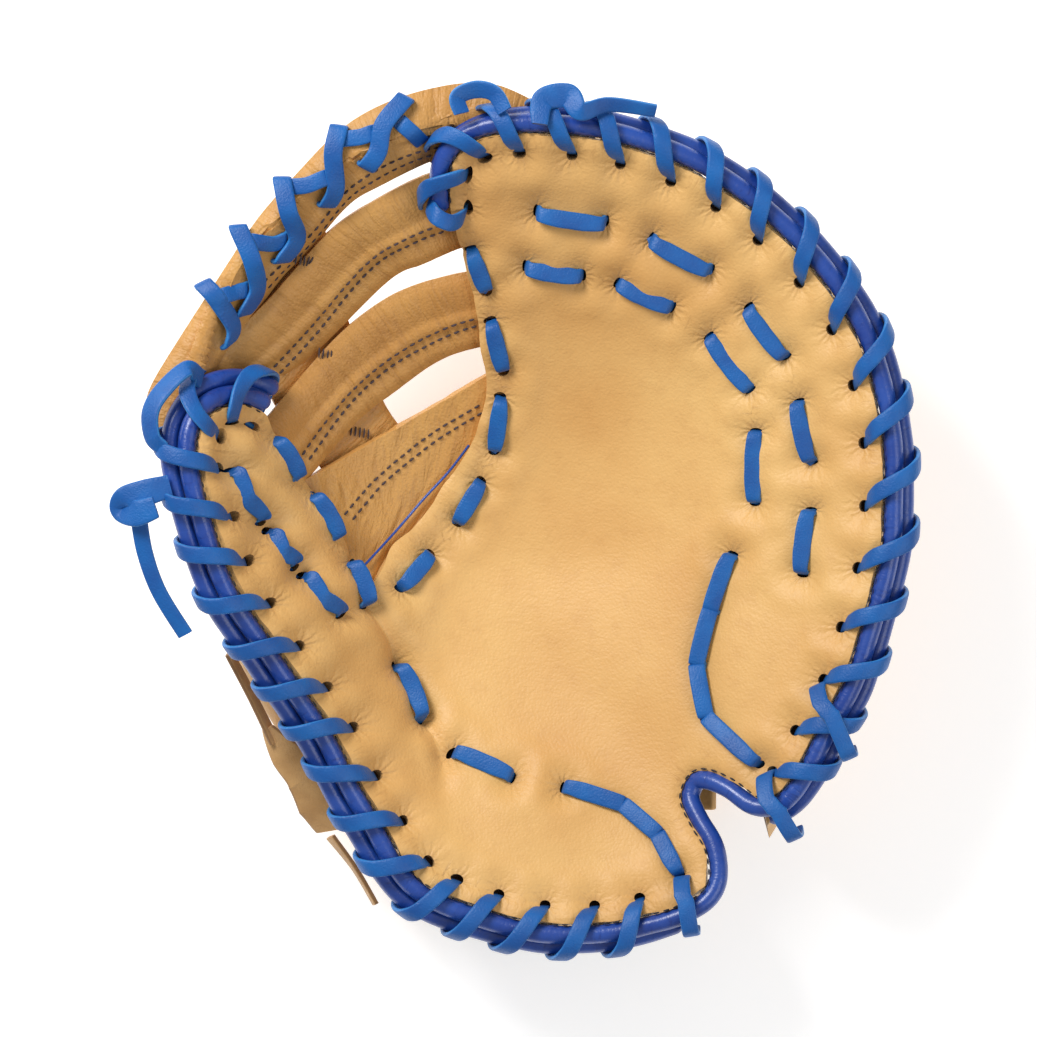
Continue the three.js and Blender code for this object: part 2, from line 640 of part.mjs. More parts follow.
// Running lace: over the leather along each row, and under it between the rows
function runningStations(rows) {
  const over = PALM_THICKNESS / 2 + GAP + LACE_REST + LACE_THICKNESS / 2;
  const hide = 0.3 * LACE_THICKNESS;
  const stations = [];
  const push = (place, lift, along) => {
    const side = new THREE.Vector3(-along.y, along.x, 0);
    stations.push({ at: overDish(place, lift), side });
  };
  rows.forEach((row, i) => {
    const [from, to] = plan([row, { u: row.toU, v: row.toV }]);
    const along = to.clone().sub(from);
    const unit = along.clone().normalize();
    push(from.clone().addScaledVector(unit, -hide), -over, unit);
    push(from.clone().addScaledVector(unit, LACE_THICKNESS), over, unit);
    push(to.clone().addScaledVector(unit, -LACE_THICKNESS), over, unit);
    push(to.clone().addScaledVector(unit, hide), -over, unit);
    if (i === rows.length - 1) return;
    const next = plan([rows[i + 1]])[0];
    const onward = next.clone().sub(to);
    push(to.clone().addScaledVector(onward, 0.5), -over - LACE_REST, onward.normalize());
  });
  return stations;
}

// Free lace through table rows that give a lift and a tilt
function freeStations(rows, steps) {
  const place = (row) => overDish(plan([row])[0], row.lift * 2 * ROLL_RADIUS);
  const curve = new THREE.CatmullRomCurve3(rows.map(place));
  const stations = [];
  for (let i = 0; i <= steps; i += 1) {
    const t = i / steps;
    const along = curve.getTangent(t);
    const k = Math.min(rows.length - 2, Math.floor(t * (rows.length - 1)));
    const between = t * (rows.length - 1) - k;
    const tilt = rows[k].tilt + (rows[k + 1].tilt - rows[k].tilt) * between;
    const [near, far] = [rows[k].wide ?? 1, rows[k + 1].wide ?? 1];
    const flat = new THREE.Vector3().crossVectors(UP, along).normalize();
    const side = flat.applyAxisAngle(along, (tilt * Math.PI) / 2);
    stations.push({ at: curve.getPoint(t), side, wide: near + (far - near) * between });
  }
  return stations;
}

// Leather sheet under the dish whose rows run from one edge to the other
function webSheet(rows, thickness, grow = 0) {
  const last = rows.length - 1;
  const corners = plan([rows[0], { u: rows[0].toU, v: rows[0].toV }, rows[1]]);
  const turned = THREE.ShapeUtils.isClockWise(corners) ? 1 : -1;
  const geometry = new THREE.BoxGeometry(1, 1, 1, WEB_ACROSS, 1, last);
  const position = geometry.attributes.position;
  for (let i = 0; i < position.count; i += 1) {
    const k = Math.round((position.getZ(i) + 0.5) * last);
    const row = rows[k];
    const [outer, inner] = plan([row, { u: row.toU, v: row.toV }]);
    const across = inner.clone().sub(outer).normalize();
    const x = position.getX(i);
    const place = outer.clone().lerp(inner, x + 0.5).addScaledVector(across, 2 * x * grow);
    const onward = k === 0 ? -1 : Number(k === last);
    place.addScaledVector(new THREE.Vector2(across.y, -across.x), onward * grow * turned);
    const lift = -row.drop * PALM_THICKNESS + position.getY(i) * thickness;
    const point = overDish(place, lift);
    position.setXYZ(i, point.x, point.y, point.z);
  }
  return solid(geometry);
}

// The front leather's outline and the web opening
const outline = [
  ...smooth([...THUMB_TIP, ...THUMB_SIDE, ...HEEL, ...NOTCH.slice(0, 1)], OUTLINE_STEPS.thumb),
  ...smooth([...NOTCH, ...LOBE.slice(0, 1)], OUTLINE_STEPS.notch).slice(1),
  ...smooth([...fingerRows, ...PALM_EDGE.slice(0, 1)], OUTLINE_STEPS.finger).slice(1),
  ...smooth([...PALM_EDGE, ...THUMB_EDGE, THUMB_TIP[0]], OUTLINE_STEPS.web).slice(1, -1),
];
const webRows = [...FINGER_TIP.slice(2), ...PALM_EDGE, ...THUMB_EDGE, ...THUMB_TIP.slice(0, 3)];
const farRows = [
  { u: -0.95, v: 0.55 },
  { u: -0.7, v: 1.3 },
  { u: -0.25, v: 1.3 },
];
const webEdge = [...smooth(webRows, OUTLINE_STEPS.web), ...plan(farRows)];
const notchEdge = plan([
  ...NOTCH,
  { u: 0.609, v: -0.645 },
  { u: 0.75, v: -1.2 },
  { u: 0.45, v: -1.2 },
]);

// Front leather: a dish whose upper and lower faces lie half a thickness from its middle
function dishBody(share, upper, lower) {
  return moulded(2 * DISH_RINGS + 2, DISH_SECTORS, (row, angle) => {
    const onTop = row <= DISH_RINGS;
    const ring = onTop ? row : 2 * DISH_RINGS + 1 - row;
    const place = polar(angle, (ring / DISH_RINGS) * share);
    return overDish(place, onTop ? upper : lower);
  });
}

// Back of the mitt: from under the front leather out to the bulge and down to the floor
function backBody(inset, top) {
  const rings = DISH_RINGS - 2;
  const rows = rings + BACK_PROFILE.length + 2;
  return moulded(rows, DISH_SECTORS, (row, angle) => {
    if (row <= rings) {
      const place = polar(angle, row / rings, row === rings ? -inset : 0);
      return new THREE.Vector3(place.x, place.y, dishHeight(place.x, place.y) + top);
    }
    const fromFloor = rows - 2 - row;
    if (fromFloor < 0) return new THREE.Vector3(...polar(angle, 0).toArray(), inset);
    const profile = BACK_PROFILE[fromFloor];
    const bulge = rimValue(angle, "bulge") * (FRONT_ROLL.out + ROLL_STEP + ROLL_RADIUS);
    const place = polar(angle, profile.reach, profile.out * bulge - inset);
    const rim = RIM_HEIGHT * rimValue(angle, "rise") - PALM_THICKNESS / 2;
    const z = Math.max(inset, profile.rise * rim);
    return new THREE.Vector3(place.x, place.y, fromFloor === 0 ? inset : z);
  });
}

// Height of the outside of the back over the floor at a share of the rim's distance
function backHeight(x, y) {
  const du = x / HALF_WIDTH - POCKET.u;
  const dv = y / HALF_LENGTH - POCKET.v;
  const angle = Math.atan2(dv, du);
  const share = Math.hypot(du, dv) / rimValue(angle, "reach");
  const k = BACK_PROFILE.findIndex((profile) => profile.reach > share);
  if (k < 1) return 0;
  const [low, high] = [BACK_PROFILE[k - 1], BACK_PROFILE[k]];
  const t = (share - low.reach) / (high.reach - low.reach);
  return (low.rise + (high.rise - low.rise) * t) * RIM_HEIGHT * rimValue(angle, "rise");
}

// Band across the wrist opening, lying on the inside of the back
function wristStrap(grow) {
  const stations = [];
  for (let i = 0; i <= STRAP_STEPS; i += 1) {
    const u = STRAP.fromU + ((STRAP.toU - STRAP.fromU) * i) / STRAP_STEPS;
    const [x, y] = [u * HALF_WIDTH, STRAP.v * HALF_LENGTH];
    const z = backHeight(x, y) + SHELL_WALL + GAP + STRAP_THICKNESS / 2;
    stations.push({ at: new THREE.Vector3(x, y, z), side: new THREE.Vector3(0, 1, 0) });
  }
  return strip(stations, STRAP_WIDTH + 2 * grow, STRAP_THICKNESS + 2 * grow);
}

// Laces
const runningRows = {
  palm_lace_outer: PALM_LACE_OUTER,
  palm_lace_inner: PALM_LACE_INNER,
  heel_lace: HEEL_LACE,
  heel_stitch: HEEL_STITCH,
  web_edge_lace: WEB_EDGE_LACE,
  crease_stitch: CREASE_STITCH,
  thumb_lace: THUMB_LACE,
  thumb_web_lace: THUMB_WEB_LACE,
};
const laces = {
  finger_edge_lace: laceOf(whippedStations(fingerRim, FINGER_WHIP, FINGER_STACK)),
  thumb_edge_lace: laceOf(whippedStations(thumbRim, THUMB_WHIP, THUMB_STACK)),
  web_bar_lace: laceOf(barStations()),
};
Object.entries(runningRows).forEach(([name, rows]) => {
  laces[name] = laceOf(runningStations(rows));
});

// Rolls of the binding
const rolls = {
  finger_binding_front: { curve: fingerRim },
  finger_binding_back: { curve: fingerRim, stack: FINGER_STACK },
  thumb_binding_front: { curve: thumbRim },
  thumb_binding_back: { curve: thumbRim, stack: THUMB_STACK },
  notch_binding: { curve: notchRim, steps: NOTCH_STEPS, from: 0.03, to: 0.985 },
};

// Colours
const COLOURS = {
  tan: { color: 0xe3b87a, roughness: 0.6, metalness: 0 },
  web: { color: 0xcc9650, roughness: 0.6, metalness: 0 },
  binding: { color: 0x3d55af, roughness: 0.35, metalness: 0 },
  lace: { color: 0x1b6fc0, roughness: 0.5, metalness: 0 },
  suede: { color: 0x9a7040, roughness: 0.9, metalness: 0 },
};

const group = new THREE.Group();
function addPiece(name, made, colour) {
  const data = mainBody(made).getMesh();
  const geometry = new THREE.BufferGeometry();
  geometry.setAttribute("position", new THREE.BufferAttribute(data.vertProperties, 3));
  geometry.setIndex(new THREE.BufferAttribute(data.triVerts, 1));
  geometry.computeVertexNormals();
  const mesh = new THREE.Mesh(geometry, new THREE.MeshStandardMaterial(COLOURS[colour]));
  mesh.name = name;
  group.add(mesh);
}

// Everything that passes through the leather cuts its own way
function cutBy(made, cutters) {
  return cutters.reduce((rest, cutter) => rest.subtract(cutter), made);
}
const laceCutters = Object.values(laces).map((lace) => lace.cutter);
const whipCutters = [laces.finger_edge_lace.cutter, laces.thumb_edge_lace.cutter];
const rollCutters = Object.values(rolls).map((made) =>
  rimRoll(made, ROLL_RADIUS + CUT_CLEARANCE),
);

const webPieces = {
  web_top_bar: TOP_BAR,
  web_bar_2: SECOND_BAR,
  web_bar_3: THIRD_BAR,
  web_base: WEB_BASE,
  web_post: POST,
};
const webCutters = Object.values(webPieces).map((rows) =>
  webSheet(rows, WEB_THICKNESS + 2 * CUT_CLEARANCE, CUT_CLEARANCE),
);

const palm = dishBody(BRIM_SHARE, PALM_THICKNESS / 2, -PALM_THICKNESS / 2)
  .intersect(prism(outline, 0, 2 * RIM_HEIGHT));
addPiece("palm_panel", cutBy(palm, [...laceCutters, ...rollCutters]), "tan");

const openWeb = prism(grown(webEdge, WEB_TUCK), -RIM_HEIGHT, 2 * RIM_HEIGHT);
const openWebWide = prism(grown(webEdge, WEB_TUCK + SHELL_WALL), -RIM_HEIGHT, 2 * RIM_HEIGHT);
const openNotch = prism(notchEdge, -RIM_HEIGHT, 2 * RIM_HEIGHT);
const wristTop = WRIST.rise * RIM_HEIGHT;
const wristHole = prism(
  plan([
    { u: WRIST.fromU, v: WRIST.fromV },
    { u: WRIST.toU, v: WRIST.fromV },
    { u: WRIST.toU, v: WRIST.toV },
    { u: WRIST.fromU, v: WRIST.toV },
  ]),
  -SHELL_WALL,
  wristTop,
);
const underPalm = dishBody(BRIM_SHARE, 4 * PALM_THICKNESS, -PALM_THICKNESS / 2 - GAP);
const backOutside = backBody(0, 0).subtract(openWeb).subtract(underPalm);
const backInside = backBody(SHELL_WALL, 2 * PALM_THICKNESS).subtract(openWebWide);
const back = backOutside.subtract(backInside).subtract(openNotch).subtract(wristHole);
const strap = wristStrap(0);
const backCutters = [...laceCutters, ...rollCutters, ...webCutters, wristStrap(CUT_CLEARANCE)];
addPiece("back_shell", cutBy(back, backCutters), "tan");
addPiece("wrist_strap", strap, "tan");

Object.entries(rolls).forEach(([name, made]) => {
  addPiece(name, cutBy(rimRoll(made, ROLL_RADIUS), whipCutters), "binding");
});
Object.entries(laces).forEach(([name, lace]) => {
  addPiece(name, cutBy(lace.body, name in runningRows ? whipCutters : []), "lace");
});
const palmCutter = dishBody(BRIM_SHARE, PALM_THICKNESS / 2 + GAP, -PALM_THICKNESS / 2 - GAP)
  .intersect(prism(grown(outline, GAP), 0, 2 * RIM_HEIGHT));
Object.entries(webPieces).forEach(([name, rows], i) => {
  const made = webSheet(rows, WEB_THICKNESS);
  const earlier = webCutters.slice(0, i);
  addPiece(name, cutBy(made, [palmCutter, ...laceCutters, ...rollCutters, ...earlier]), "web");
});

// Loops, knots and tails
const freeLaces = {
  finger_loop: { rows: FINGER_LOOP, steps: 8, colour: "lace" },
  top_knot: { rows: TOP_KNOT, steps: 10, colour: "lace" },
  thumb_loop: { rows: THUMB_LOOP, steps: 12, colour: "lace" },
  thumb_knot: { rows: THUMB_KNOT, steps: 12, colour: "lace" },
  strap_lace: { rows: STRAP_LACE, steps: 16, colour: "suede" },
};
Object.entries(freeLaces).forEach(([name, { rows, steps: count, colour }]) => {
  const made = laceOf(freeStations(rows, count), TAIL_WIDTH).body;
  const nearby = [...laceCutters, ...rollCutters, ...webCutters, backBody(-GAP, 0)];
  addPiece(name, cutBy(made, nearby), colour);
});

// The outline's centre in plan lies on the origin
const bounds = new THREE.Box3().setFromObject(group);
const centre = bounds.getCenter(new THREE.Vector3());
group.children.forEach((mesh) => mesh.geometry.translate(-centre.x, -centre.y, 0));

export default group;
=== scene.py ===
# %% [markdown]
# # A first baseman mitt, laced in blue
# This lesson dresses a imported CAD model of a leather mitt. The CAD model is the frame: it says
# where each piece lies. Every piece here is in metres, in the same place, and each stands for
# one of the plain CAD solids. The mitt lies on its back, with the pocket open upwards.

# %% Loading the frame
import math

import bpy
import numpy as np
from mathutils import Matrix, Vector, geometry


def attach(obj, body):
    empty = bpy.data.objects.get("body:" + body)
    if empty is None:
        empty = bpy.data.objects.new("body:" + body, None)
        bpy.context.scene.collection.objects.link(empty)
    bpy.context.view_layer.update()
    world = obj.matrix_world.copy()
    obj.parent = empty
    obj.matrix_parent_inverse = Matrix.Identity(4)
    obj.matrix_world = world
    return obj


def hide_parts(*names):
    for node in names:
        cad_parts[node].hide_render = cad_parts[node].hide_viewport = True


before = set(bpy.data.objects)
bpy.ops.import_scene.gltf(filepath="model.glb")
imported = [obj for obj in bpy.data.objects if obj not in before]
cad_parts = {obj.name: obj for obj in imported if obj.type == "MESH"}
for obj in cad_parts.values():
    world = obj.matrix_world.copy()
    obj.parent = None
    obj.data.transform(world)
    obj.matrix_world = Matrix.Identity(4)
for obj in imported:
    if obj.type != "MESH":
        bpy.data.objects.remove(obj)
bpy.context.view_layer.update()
print("The frame has", len(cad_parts), "nodes")

# %% [markdown]
# ## Sizes and tables
# The front leather is a dish. A dish has no simple primitive, so its height is a function of
# the place in plan, with a short table of the rim round it. The same tables made the CAD
# model, so each piece falls where its solid is. Places are shares of the half width (u) and
# half length (v), and the whole mitt is moved so that its middle is on the origin.

# %% Sizes in metres, the same as in the CAD model
HALF_WIDTH = 0.132
HALF_LENGTH = 0.1435
RIM_HEIGHT = 0.092
POCKET_HEIGHT = 0.032
BOWL_POWER = 1.8
PALM_THICKNESS = 0.0046
SHELL_WALL = 0.003
WEB_THICKNESS = 0.003
STRAP_THICKNESS = 0.003
STRAP_WIDTH = 0.03
ROLL_RADIUS = 0.0031
LACE_WIDTH = 0.0056
LACE_THICKNESS = 0.0017
TAIL_WIDTH = 0.0052
HOLE_INSET = 0.0052
WEB_TUCK = 0.009
GAP = 0.0003
ROLL_SPACE = 0.00045
CENTRE = np.array([0.0008815, -0.0013111, 0.0])

POCKET = (-0.151, -0.105)
RIM = {
    "reach": [1.045, 1.095, 1.119, 1.097, 1.063, 1.016, 1.0, 0.96, 0.9, 0.83, 0.73, 0.651,
              0.574, 0.516, 0.482, 0.491, 0.543, 0.656, 0.776, 0.86, 0.937, 0.991, 0.97, 1.0],
    "rise": [0.86, 0.89, 0.9, 0.91, 0.94, 0.99, 1.0, 0.97, 0.95, 0.95, 0.98, 1.0,
             0.96, 0.9, 0.83, 0.76, 0.7, 0.66, 0.65, 0.65, 0.66, 0.7, 0.77, 0.82],
    "bulge": [0.3, 0.3, 0.3, 0.3, 0.3, 0.3, 0.3, 0.3, 0.3, 0.3, 0.3, 0.4,
              0.6, 0.9, 1.15, 1.2, 1.15, 0.6, 0.3, 0.2, 0.2, 0.2, 0.3, 0.3],
}
# Pads and creases of the front leather: u, v, spread, swell as a share of its thickness
PADS = [
    (-0.55, -0.26, 0.16, 0.9),
    (0.0, -0.72, 0.2, 1.1),
    (0.62, -0.32, 0.2, 0.8),
    (0.36, 0.64, 0.2, 0.5),
    (-0.3, -0.36, 0.12, -0.8),
    (0.12, 0.06, 0.3, -0.5),
]
THUMB_TIP = [(-0.641, 0.24), (-0.689, 0.261), (-0.746, 0.252), (-0.786, 0.213)]
THUMB_SIDE = [
    (-0.795, 0.134), (-0.749, -0.036), (-0.699, -0.16), (-0.614, -0.279), (-0.556, -0.36),
    (-0.464, -0.491), (-0.404, -0.603), (-0.346, -0.693), (-0.286, -0.79), (-0.219, -0.852),
]
HEEL = [(-0.081, -0.902), (0.061, -0.934), (0.214, -0.934), (0.316, -0.916), (0.399, -0.893)]
NOTCH = [
    (0.47, -0.849), (0.469, -0.771), (0.431, -0.709), (0.404, -0.647), (0.429, -0.59),
    (0.474, -0.578), (0.539, -0.601),
]
LOBE = [(0.609, -0.645), (0.654, -0.629), (0.694, -0.578)]
FINGER_SIDE = [
    (0.759, -0.459), (0.816, -0.36), (0.879, -0.164), (0.904, -0.056), (0.909, 0.072),
    (0.906, 0.18), (0.879, 0.314), (0.834, 0.429), (0.759, 0.539), (0.666, 0.636),
    (0.549, 0.728), (0.429, 0.797), (0.316, 0.838), (0.204, 0.866), (0.079, 0.879),
]
FINGER_TIP = [(-0.056, 0.877), (-0.126, 0.854), (-0.164, 0.813), (-0.171, 0.755), (-0.166, 0.709)]
PALM_EDGE = [
    (-0.146, 0.645), (-0.124, 0.569), (-0.096, 0.433), (-0.081, 0.295), (-0.109, 0.192),
    (-0.184, 0.077), (-0.249, -0.008), (-0.321, -0.072),
]
THUMB_EDGE = [(-0.372, -0.16), (-0.399, -0.137), (-0.444, -0.04), (-0.514, 0.056), (-0.571, 0.134)]

# Web sheets: outer edge u and v, inner edge u and v, drop under the dish in palm thicknesses
TOP_BAR = [
    (-0.9, 0.165, -0.815, 0.165, 2.6), (-0.926, 0.275, -0.785, 0.249, 2.6),
    (-0.861, 0.385, -0.741, 0.332, 2.2), (-0.726, 0.576, -0.621, 0.534, 1.3),
    (-0.649, 0.686, -0.541, 0.617, 1.3), (-0.546, 0.794, -0.444, 0.723, 1.3),
    (-0.446, 0.889, -0.366, 0.774, 1.3), (-0.334, 0.951, -0.286, 0.81, 1.6),
    (-0.196, 0.99, -0.196, 0.831, 2.4), (-0.066, 0.997, -0.101, 0.831, 2.6),
    (0.03, 0.96, -0.016, 0.831, 2.6),
]
SECOND_BAR = [
    (-0.754, 0.325, -0.62, 0.242, 2.6), (-0.616, 0.477, -0.481, 0.387, 1.2),
    (-0.466, 0.64, -0.319, 0.541, 0.95), (-0.346, 0.716, -0.236, 0.576, 0.95),
    (-0.216, 0.76, -0.146, 0.599, 1.8), (-0.096, 0.772, -0.056, 0.613, 2.4),
]
THIRD_BAR = [
    (-0.646, 0.185, -0.554, 0.046, 0.95), (-0.509, 0.341, -0.406, 0.213, 0.95),
    (-0.411, 0.436, -0.309, 0.286, 0.95), (-0.291, 0.511, -0.196, 0.36, 0.95),
    (-0.146, 0.551, -0.084, 0.392, 0.95), (-0.036, 0.562, -0.006, 0.399, 0.95),
]
WEB_BASE = [
    (-0.52, 0.09, -0.006, 0.365, 0.95), (-0.5, 0.03, -0.03, 0.235, 0.95),
    (-0.47, -0.04, -0.09, 0.09, 0.95), (-0.44, -0.11, -0.21, -0.05, 0.95),
    (-0.42, -0.19, -0.3, -0.17, 0.95),
]
POST = [
    (-0.691, 0.56, -0.535, 0.73, 2.75), (-0.634, 0.48, -0.469, 0.66, 2.4),
    (-0.579, 0.277, -0.416, 0.445, 1.9), (-0.471, 0.134, -0.331, 0.256, 1.9),
    (-0.421, 0.061, -0.276, 0.18, 1.9),
]

# Running laces: each row is a stretch that shows on the front, from u, v to u, v
RUNNING = {
    "palm_lace_outer": [
        (0.049, 0.709, 0.216, 0.686), (0.336, 0.645, 0.479, 0.576), (0.579, 0.486, 0.669, 0.376),
        (0.704, 0.268, 0.736, 0.134), (0.734, 0.017, 0.714, -0.125),
    ],
    "palm_lace_inner": [
        (0.021, 0.585, 0.159, 0.567), (0.254, 0.548, 0.386, 0.493), (0.484, 0.422, 0.584, 0.302),
        (0.601, 0.201, 0.599, 0.04), (0.539, -0.086, 0.5, -0.192), (0.484, -0.235, 0.46, -0.318),
        (0.454, -0.362, 0.471, -0.442), (0.49, -0.476, 0.6, -0.562),
    ],
    "heel_lace": [
        (0.116, -0.626, 0.246, -0.656), (0.284, -0.676, 0.342, -0.719),
        (0.366, -0.749, 0.404, -0.821),
    ],
    "heel_stitch": [(-0.161, -0.546, -0.019, -0.601)],
    "web_edge_lace": [
        (-0.116, 0.62, -0.079, 0.532), (-0.067, 0.456, -0.038, 0.348),
        (-0.045, 0.279, -0.062, 0.162), (-0.097, 0.086, -0.155, -0.008),
        (-0.226, -0.083, -0.3, -0.16),
    ],
    "crease_stitch": [(-0.306, -0.346, -0.246, -0.463)],
    "thumb_lace": [
        (-0.716, 0.107, -0.649, -0.002), (-0.625, -0.036, -0.567, -0.105),
        (-0.537, -0.138, -0.454, -0.22),
    ],
    "thumb_web_lace": [
        (-0.612, 0.18, -0.559, 0.093), (-0.519, 0.051, -0.46, -0.046),
        (-0.425, -0.105, -0.385, -0.2),
    ],
}

# Whipped laces: the share of the rim at each hole; lean is how far a turn leads its hole
WHIP_LEAN = 0.2
FINGER_HOLES = [
    0.032, 0.079, 0.136, 0.192, 0.252, 0.316, 0.379, 0.438, 0.5, 0.558, 0.618, 0.672, 0.725,
    0.779, 0.829, 0.881, 0.921, 0.962, 0.998,
]
THUMB_HOLES = [
    0.959, 0.901, 0.839, 0.779, 0.725, 0.674, 0.613, 0.551, 0.487, 0.432, 0.374, 0.313, 0.252,
    0.196, 0.135, 0.088, 0.043, 0.004,
]
# Strips that cross over the whipping, from the leather to the outside of the rolls
CROSSED = [
    [(0.754, -0.386), (0.79, -0.46), (0.825, -0.535)],
    [(0.624, -0.59), (0.65, -0.655), (0.69, -0.722)],
    [(0.414, -0.831), (0.425, -0.89), (0.434, -0.948)],
    [(-0.135, 0.7), (-0.175, 0.707), (-0.21, 0.72)],
]
# How far the back roll lies beside the front one: share of the rim, share of their distance
FINGER_STACK = [(0, 0.5), (0.08, 0.6), (0.85, 0.5), (0.94, 0.1), (1, 0)]
THUMB_STACK = [(0, 0.8), (0.1, 0.88), (0.6, 0.88), (0.78, 0.6), (1, 0.4)]

# Lace over the top bar: each row is the middle of a strip, from the outer edge inwards
BAR_LACES = [
    [(-0.286, 0.957), (-0.331, 0.902), (-0.356, 0.861), (-0.381, 0.829)],
    [(-0.446, 0.889), (-0.461, 0.833), (-0.466, 0.778), (-0.486, 0.737)],
    [(-0.586, 0.769), (-0.586, 0.714), (-0.571, 0.659), (-0.601, 0.608)],
    [(-0.696, 0.659), (-0.686, 0.603), (-0.671, 0.539), (-0.701, 0.484)],
    [(-0.781, 0.53), (-0.756, 0.502), (-0.736, 0.456), (-0.741, 0.41)],
]
BAR_CROSSINGS = [
    [(-0.366, 0.884), (-0.396, 0.874), (-0.436, 0.87)],
    [(-0.486, 0.778), (-0.526, 0.764), (-0.566, 0.76)],
    [(-0.596, 0.649), (-0.626, 0.64), (-0.656, 0.636)],
    [(-0.696, 0.534), (-0.721, 0.525), (-0.746, 0.52)],
    [(-0.286, 0.902), (-0.262, 0.89), (-0.246, 0.879)],
]
# Twin seams of the web sheets, tacks across the post, and the cord beside the palm's edge
SEAMS = {
    "web_top_bar": [
        (-0.644, 0.537), (-0.579, 0.597), (-0.486, 0.686), (-0.439, 0.746), (-0.356, 0.799),
        (-0.264, 0.84), (-0.194, 0.854),
    ],
    "web_bar_2": [
        (-0.649, 0.311), (-0.524, 0.436), (-0.384, 0.585), (-0.276, 0.649), (-0.166, 0.684),
    ],
    "web_bar_3": [
        (-0.546, 0.139), (-0.466, 0.245), (-0.374, 0.334), (-0.296, 0.385), (-0.146, 0.452),
        (-0.06, 0.47),
    ],
    "web_base": [
        (-0.439, -0.001), (-0.374, 0.075), (-0.296, 0.139), (-0.211, 0.197), (-0.091, 0.261),
    ],
}
TACKS = [
    ("web_top_bar", -0.545, 0.6), ("web_bar_2", -0.49, 0.385), ("web_post", -0.409, 0.205),
]
EDGE_CORD = [(-0.386, -0.107), (-0.31, -0.03), (-0.24, 0.045), (-0.175, 0.11), (-0.125, 0.17)]

# Loops, knots and tails: u, v, lift in roll diameters, tilt in quarter turns, width
FREE = {
    "finger_loop": [
        (-0.14, 0.925, 0.8, 0.2, 1.0), (-0.15, 0.962, 0.7, 0.3, 1.1), (-0.105, 0.98, 0.6, 0.3, 1.2),
        (-0.06, 0.97, 0.7, 0.3, 1.1), (-0.035, 0.93, 0.85, 0.2, 1.0),
    ],
    "top_knot": [
        (0.05, 0.9, 1.2, 0, 1.0), (0.06, 0.955, 0.9, 0, 1.5), (0.12, 0.965, 0.95, 0.1, 1.6),
        (0.15, 0.93, 1.35, 0.2, 1.2), (0.22, 0.947, 1.1, 0.3, 1.0), (0.335, 0.934, 1.1, 0.4, 0.9),
    ],
    "thumb_loop": [
        (-0.79, 0.32, -0.6, 0.4, 1.1), (-0.825, 0.34, 0.5, 0.4, 1.2), (-0.885, 0.29, 0.75, 0.4, 1.3),
        (-0.915, 0.24, 0.75, 0.4, 1.3), (-0.91, 0.185, 0.65, 0.4, 1.2), (-0.885, 0.16, 0.5, 0.3, 1.0),
    ],
    "thumb_knot": [
        (-0.865, 0.075, 0.35, 0, 1.4), (-0.92, 0.062, 0.5, 0, 1.7), (-0.975, 0.045, 0.3, 0, 1.7),
        (-0.985, 0.02, 0.0, 0, 1.5), (-0.95, 0.015, 0.6, 0, 1.7), (-0.9, 0.03, 0.75, 0, 1.4),
    ],
    "strap_lace": [
        (-0.6, -0.515, -3.6, 0.6, 1.1), (-0.555, -0.57, -3.4, 0.2, 2.2), (-0.5, -0.615, -3.3, 0, 3.0),
        (-0.47, -0.68, -3.3, 0.1, 3.1), (-0.45, -0.735, -3.5, 0.3, 2.0),
    ],
}
# Free ends: u, v, lift, tilt and width, as above
TAILS = {
    "thumb_tail": [
        (-0.945, 0.005, -0.05, 0.1, 1.1), (-0.93, -0.08, -0.2, 0.15, 1.05),
        (-0.895, -0.17, -0.2, 0.15, 1), (-0.83, -0.268, -0.2, 0.2, 1),
    ],
    "strap_tail_upper": [
        (-0.583, -0.545, -3.6, 0.6, 1), (-0.64, -0.45, -3.6, 0.7, 1), (-0.708, -0.35, -3.6, 0.7, 0.9),
    ],
    "strap_tail_lower": [
        (-0.45, -0.75, -3.6, 0.7, 1), (-0.395, -0.82, -3.6, 0.85, 1), (-0.35, -0.9, -3.6, 0.85, 0.9),
    ],
}
print("Front leather outline:", len(THUMB_SIDE + HEEL + FINGER_SIDE), "main points")

# %% [markdown]
# ## Curves and the dish
# A smooth curve through a few points is enough for the rim, the laces and the bars. Catmull-Rom
# curves go through their points, so a table of places is also a list of handles.

# %% Curves through table points
def metres(rows):
    """Plan points in metres of rows that start with u and v."""
    return np.array([(row[0] * HALF_WIDTH, row[1] * HALF_LENGTH) for row in rows])


def unit(vectors):
    """Vectors of the same direction, one metre long."""
    return vectors / np.linalg.norm(vectors, axis=-1, keepdims=True)


def spline(a, b, c, d, t):
    """Value of a Catmull-Rom curve at t of the way from b to c."""
    bend = 2 * a - 5 * b + 4 * c - d + t * (3 * (b - c) + d - a)
    return b + 0.5 * t * (c - a + t * bend)


def through(points, steps):
    """Points of a curve through the points, the same number between each two."""
    points = np.asarray(points, float)
    last = len(points) - 1
    place = np.linspace(0, last, steps)
    base = np.minimum(place.astype(int), last - 1)
    near = (points[np.clip(base + step, 0, last)] for step in (-1, 0, 1, 2))
    return spline(*near, (place - base)[:, None])


def looked_up(place, known, values):
    """Rows of values at places between the known ones."""
    return np.column_stack([np.interp(place, known, column) for column in values.T])


def distances(points):
    """How far along a line each of its points lies."""
    return np.concatenate([[0], np.cumsum(np.linalg.norm(np.diff(points, axis=0), axis=1))])


def evenly(points, steps):
    """The same curve with its points at equal distances."""
    along = distances(points)
    return looked_up(np.linspace(0, along[-1], steps), along, points)


def smooth(rows, steps):
    """Plan curve through table rows, in even steps."""
    return evenly(through(metres(rows), 2000), steps)


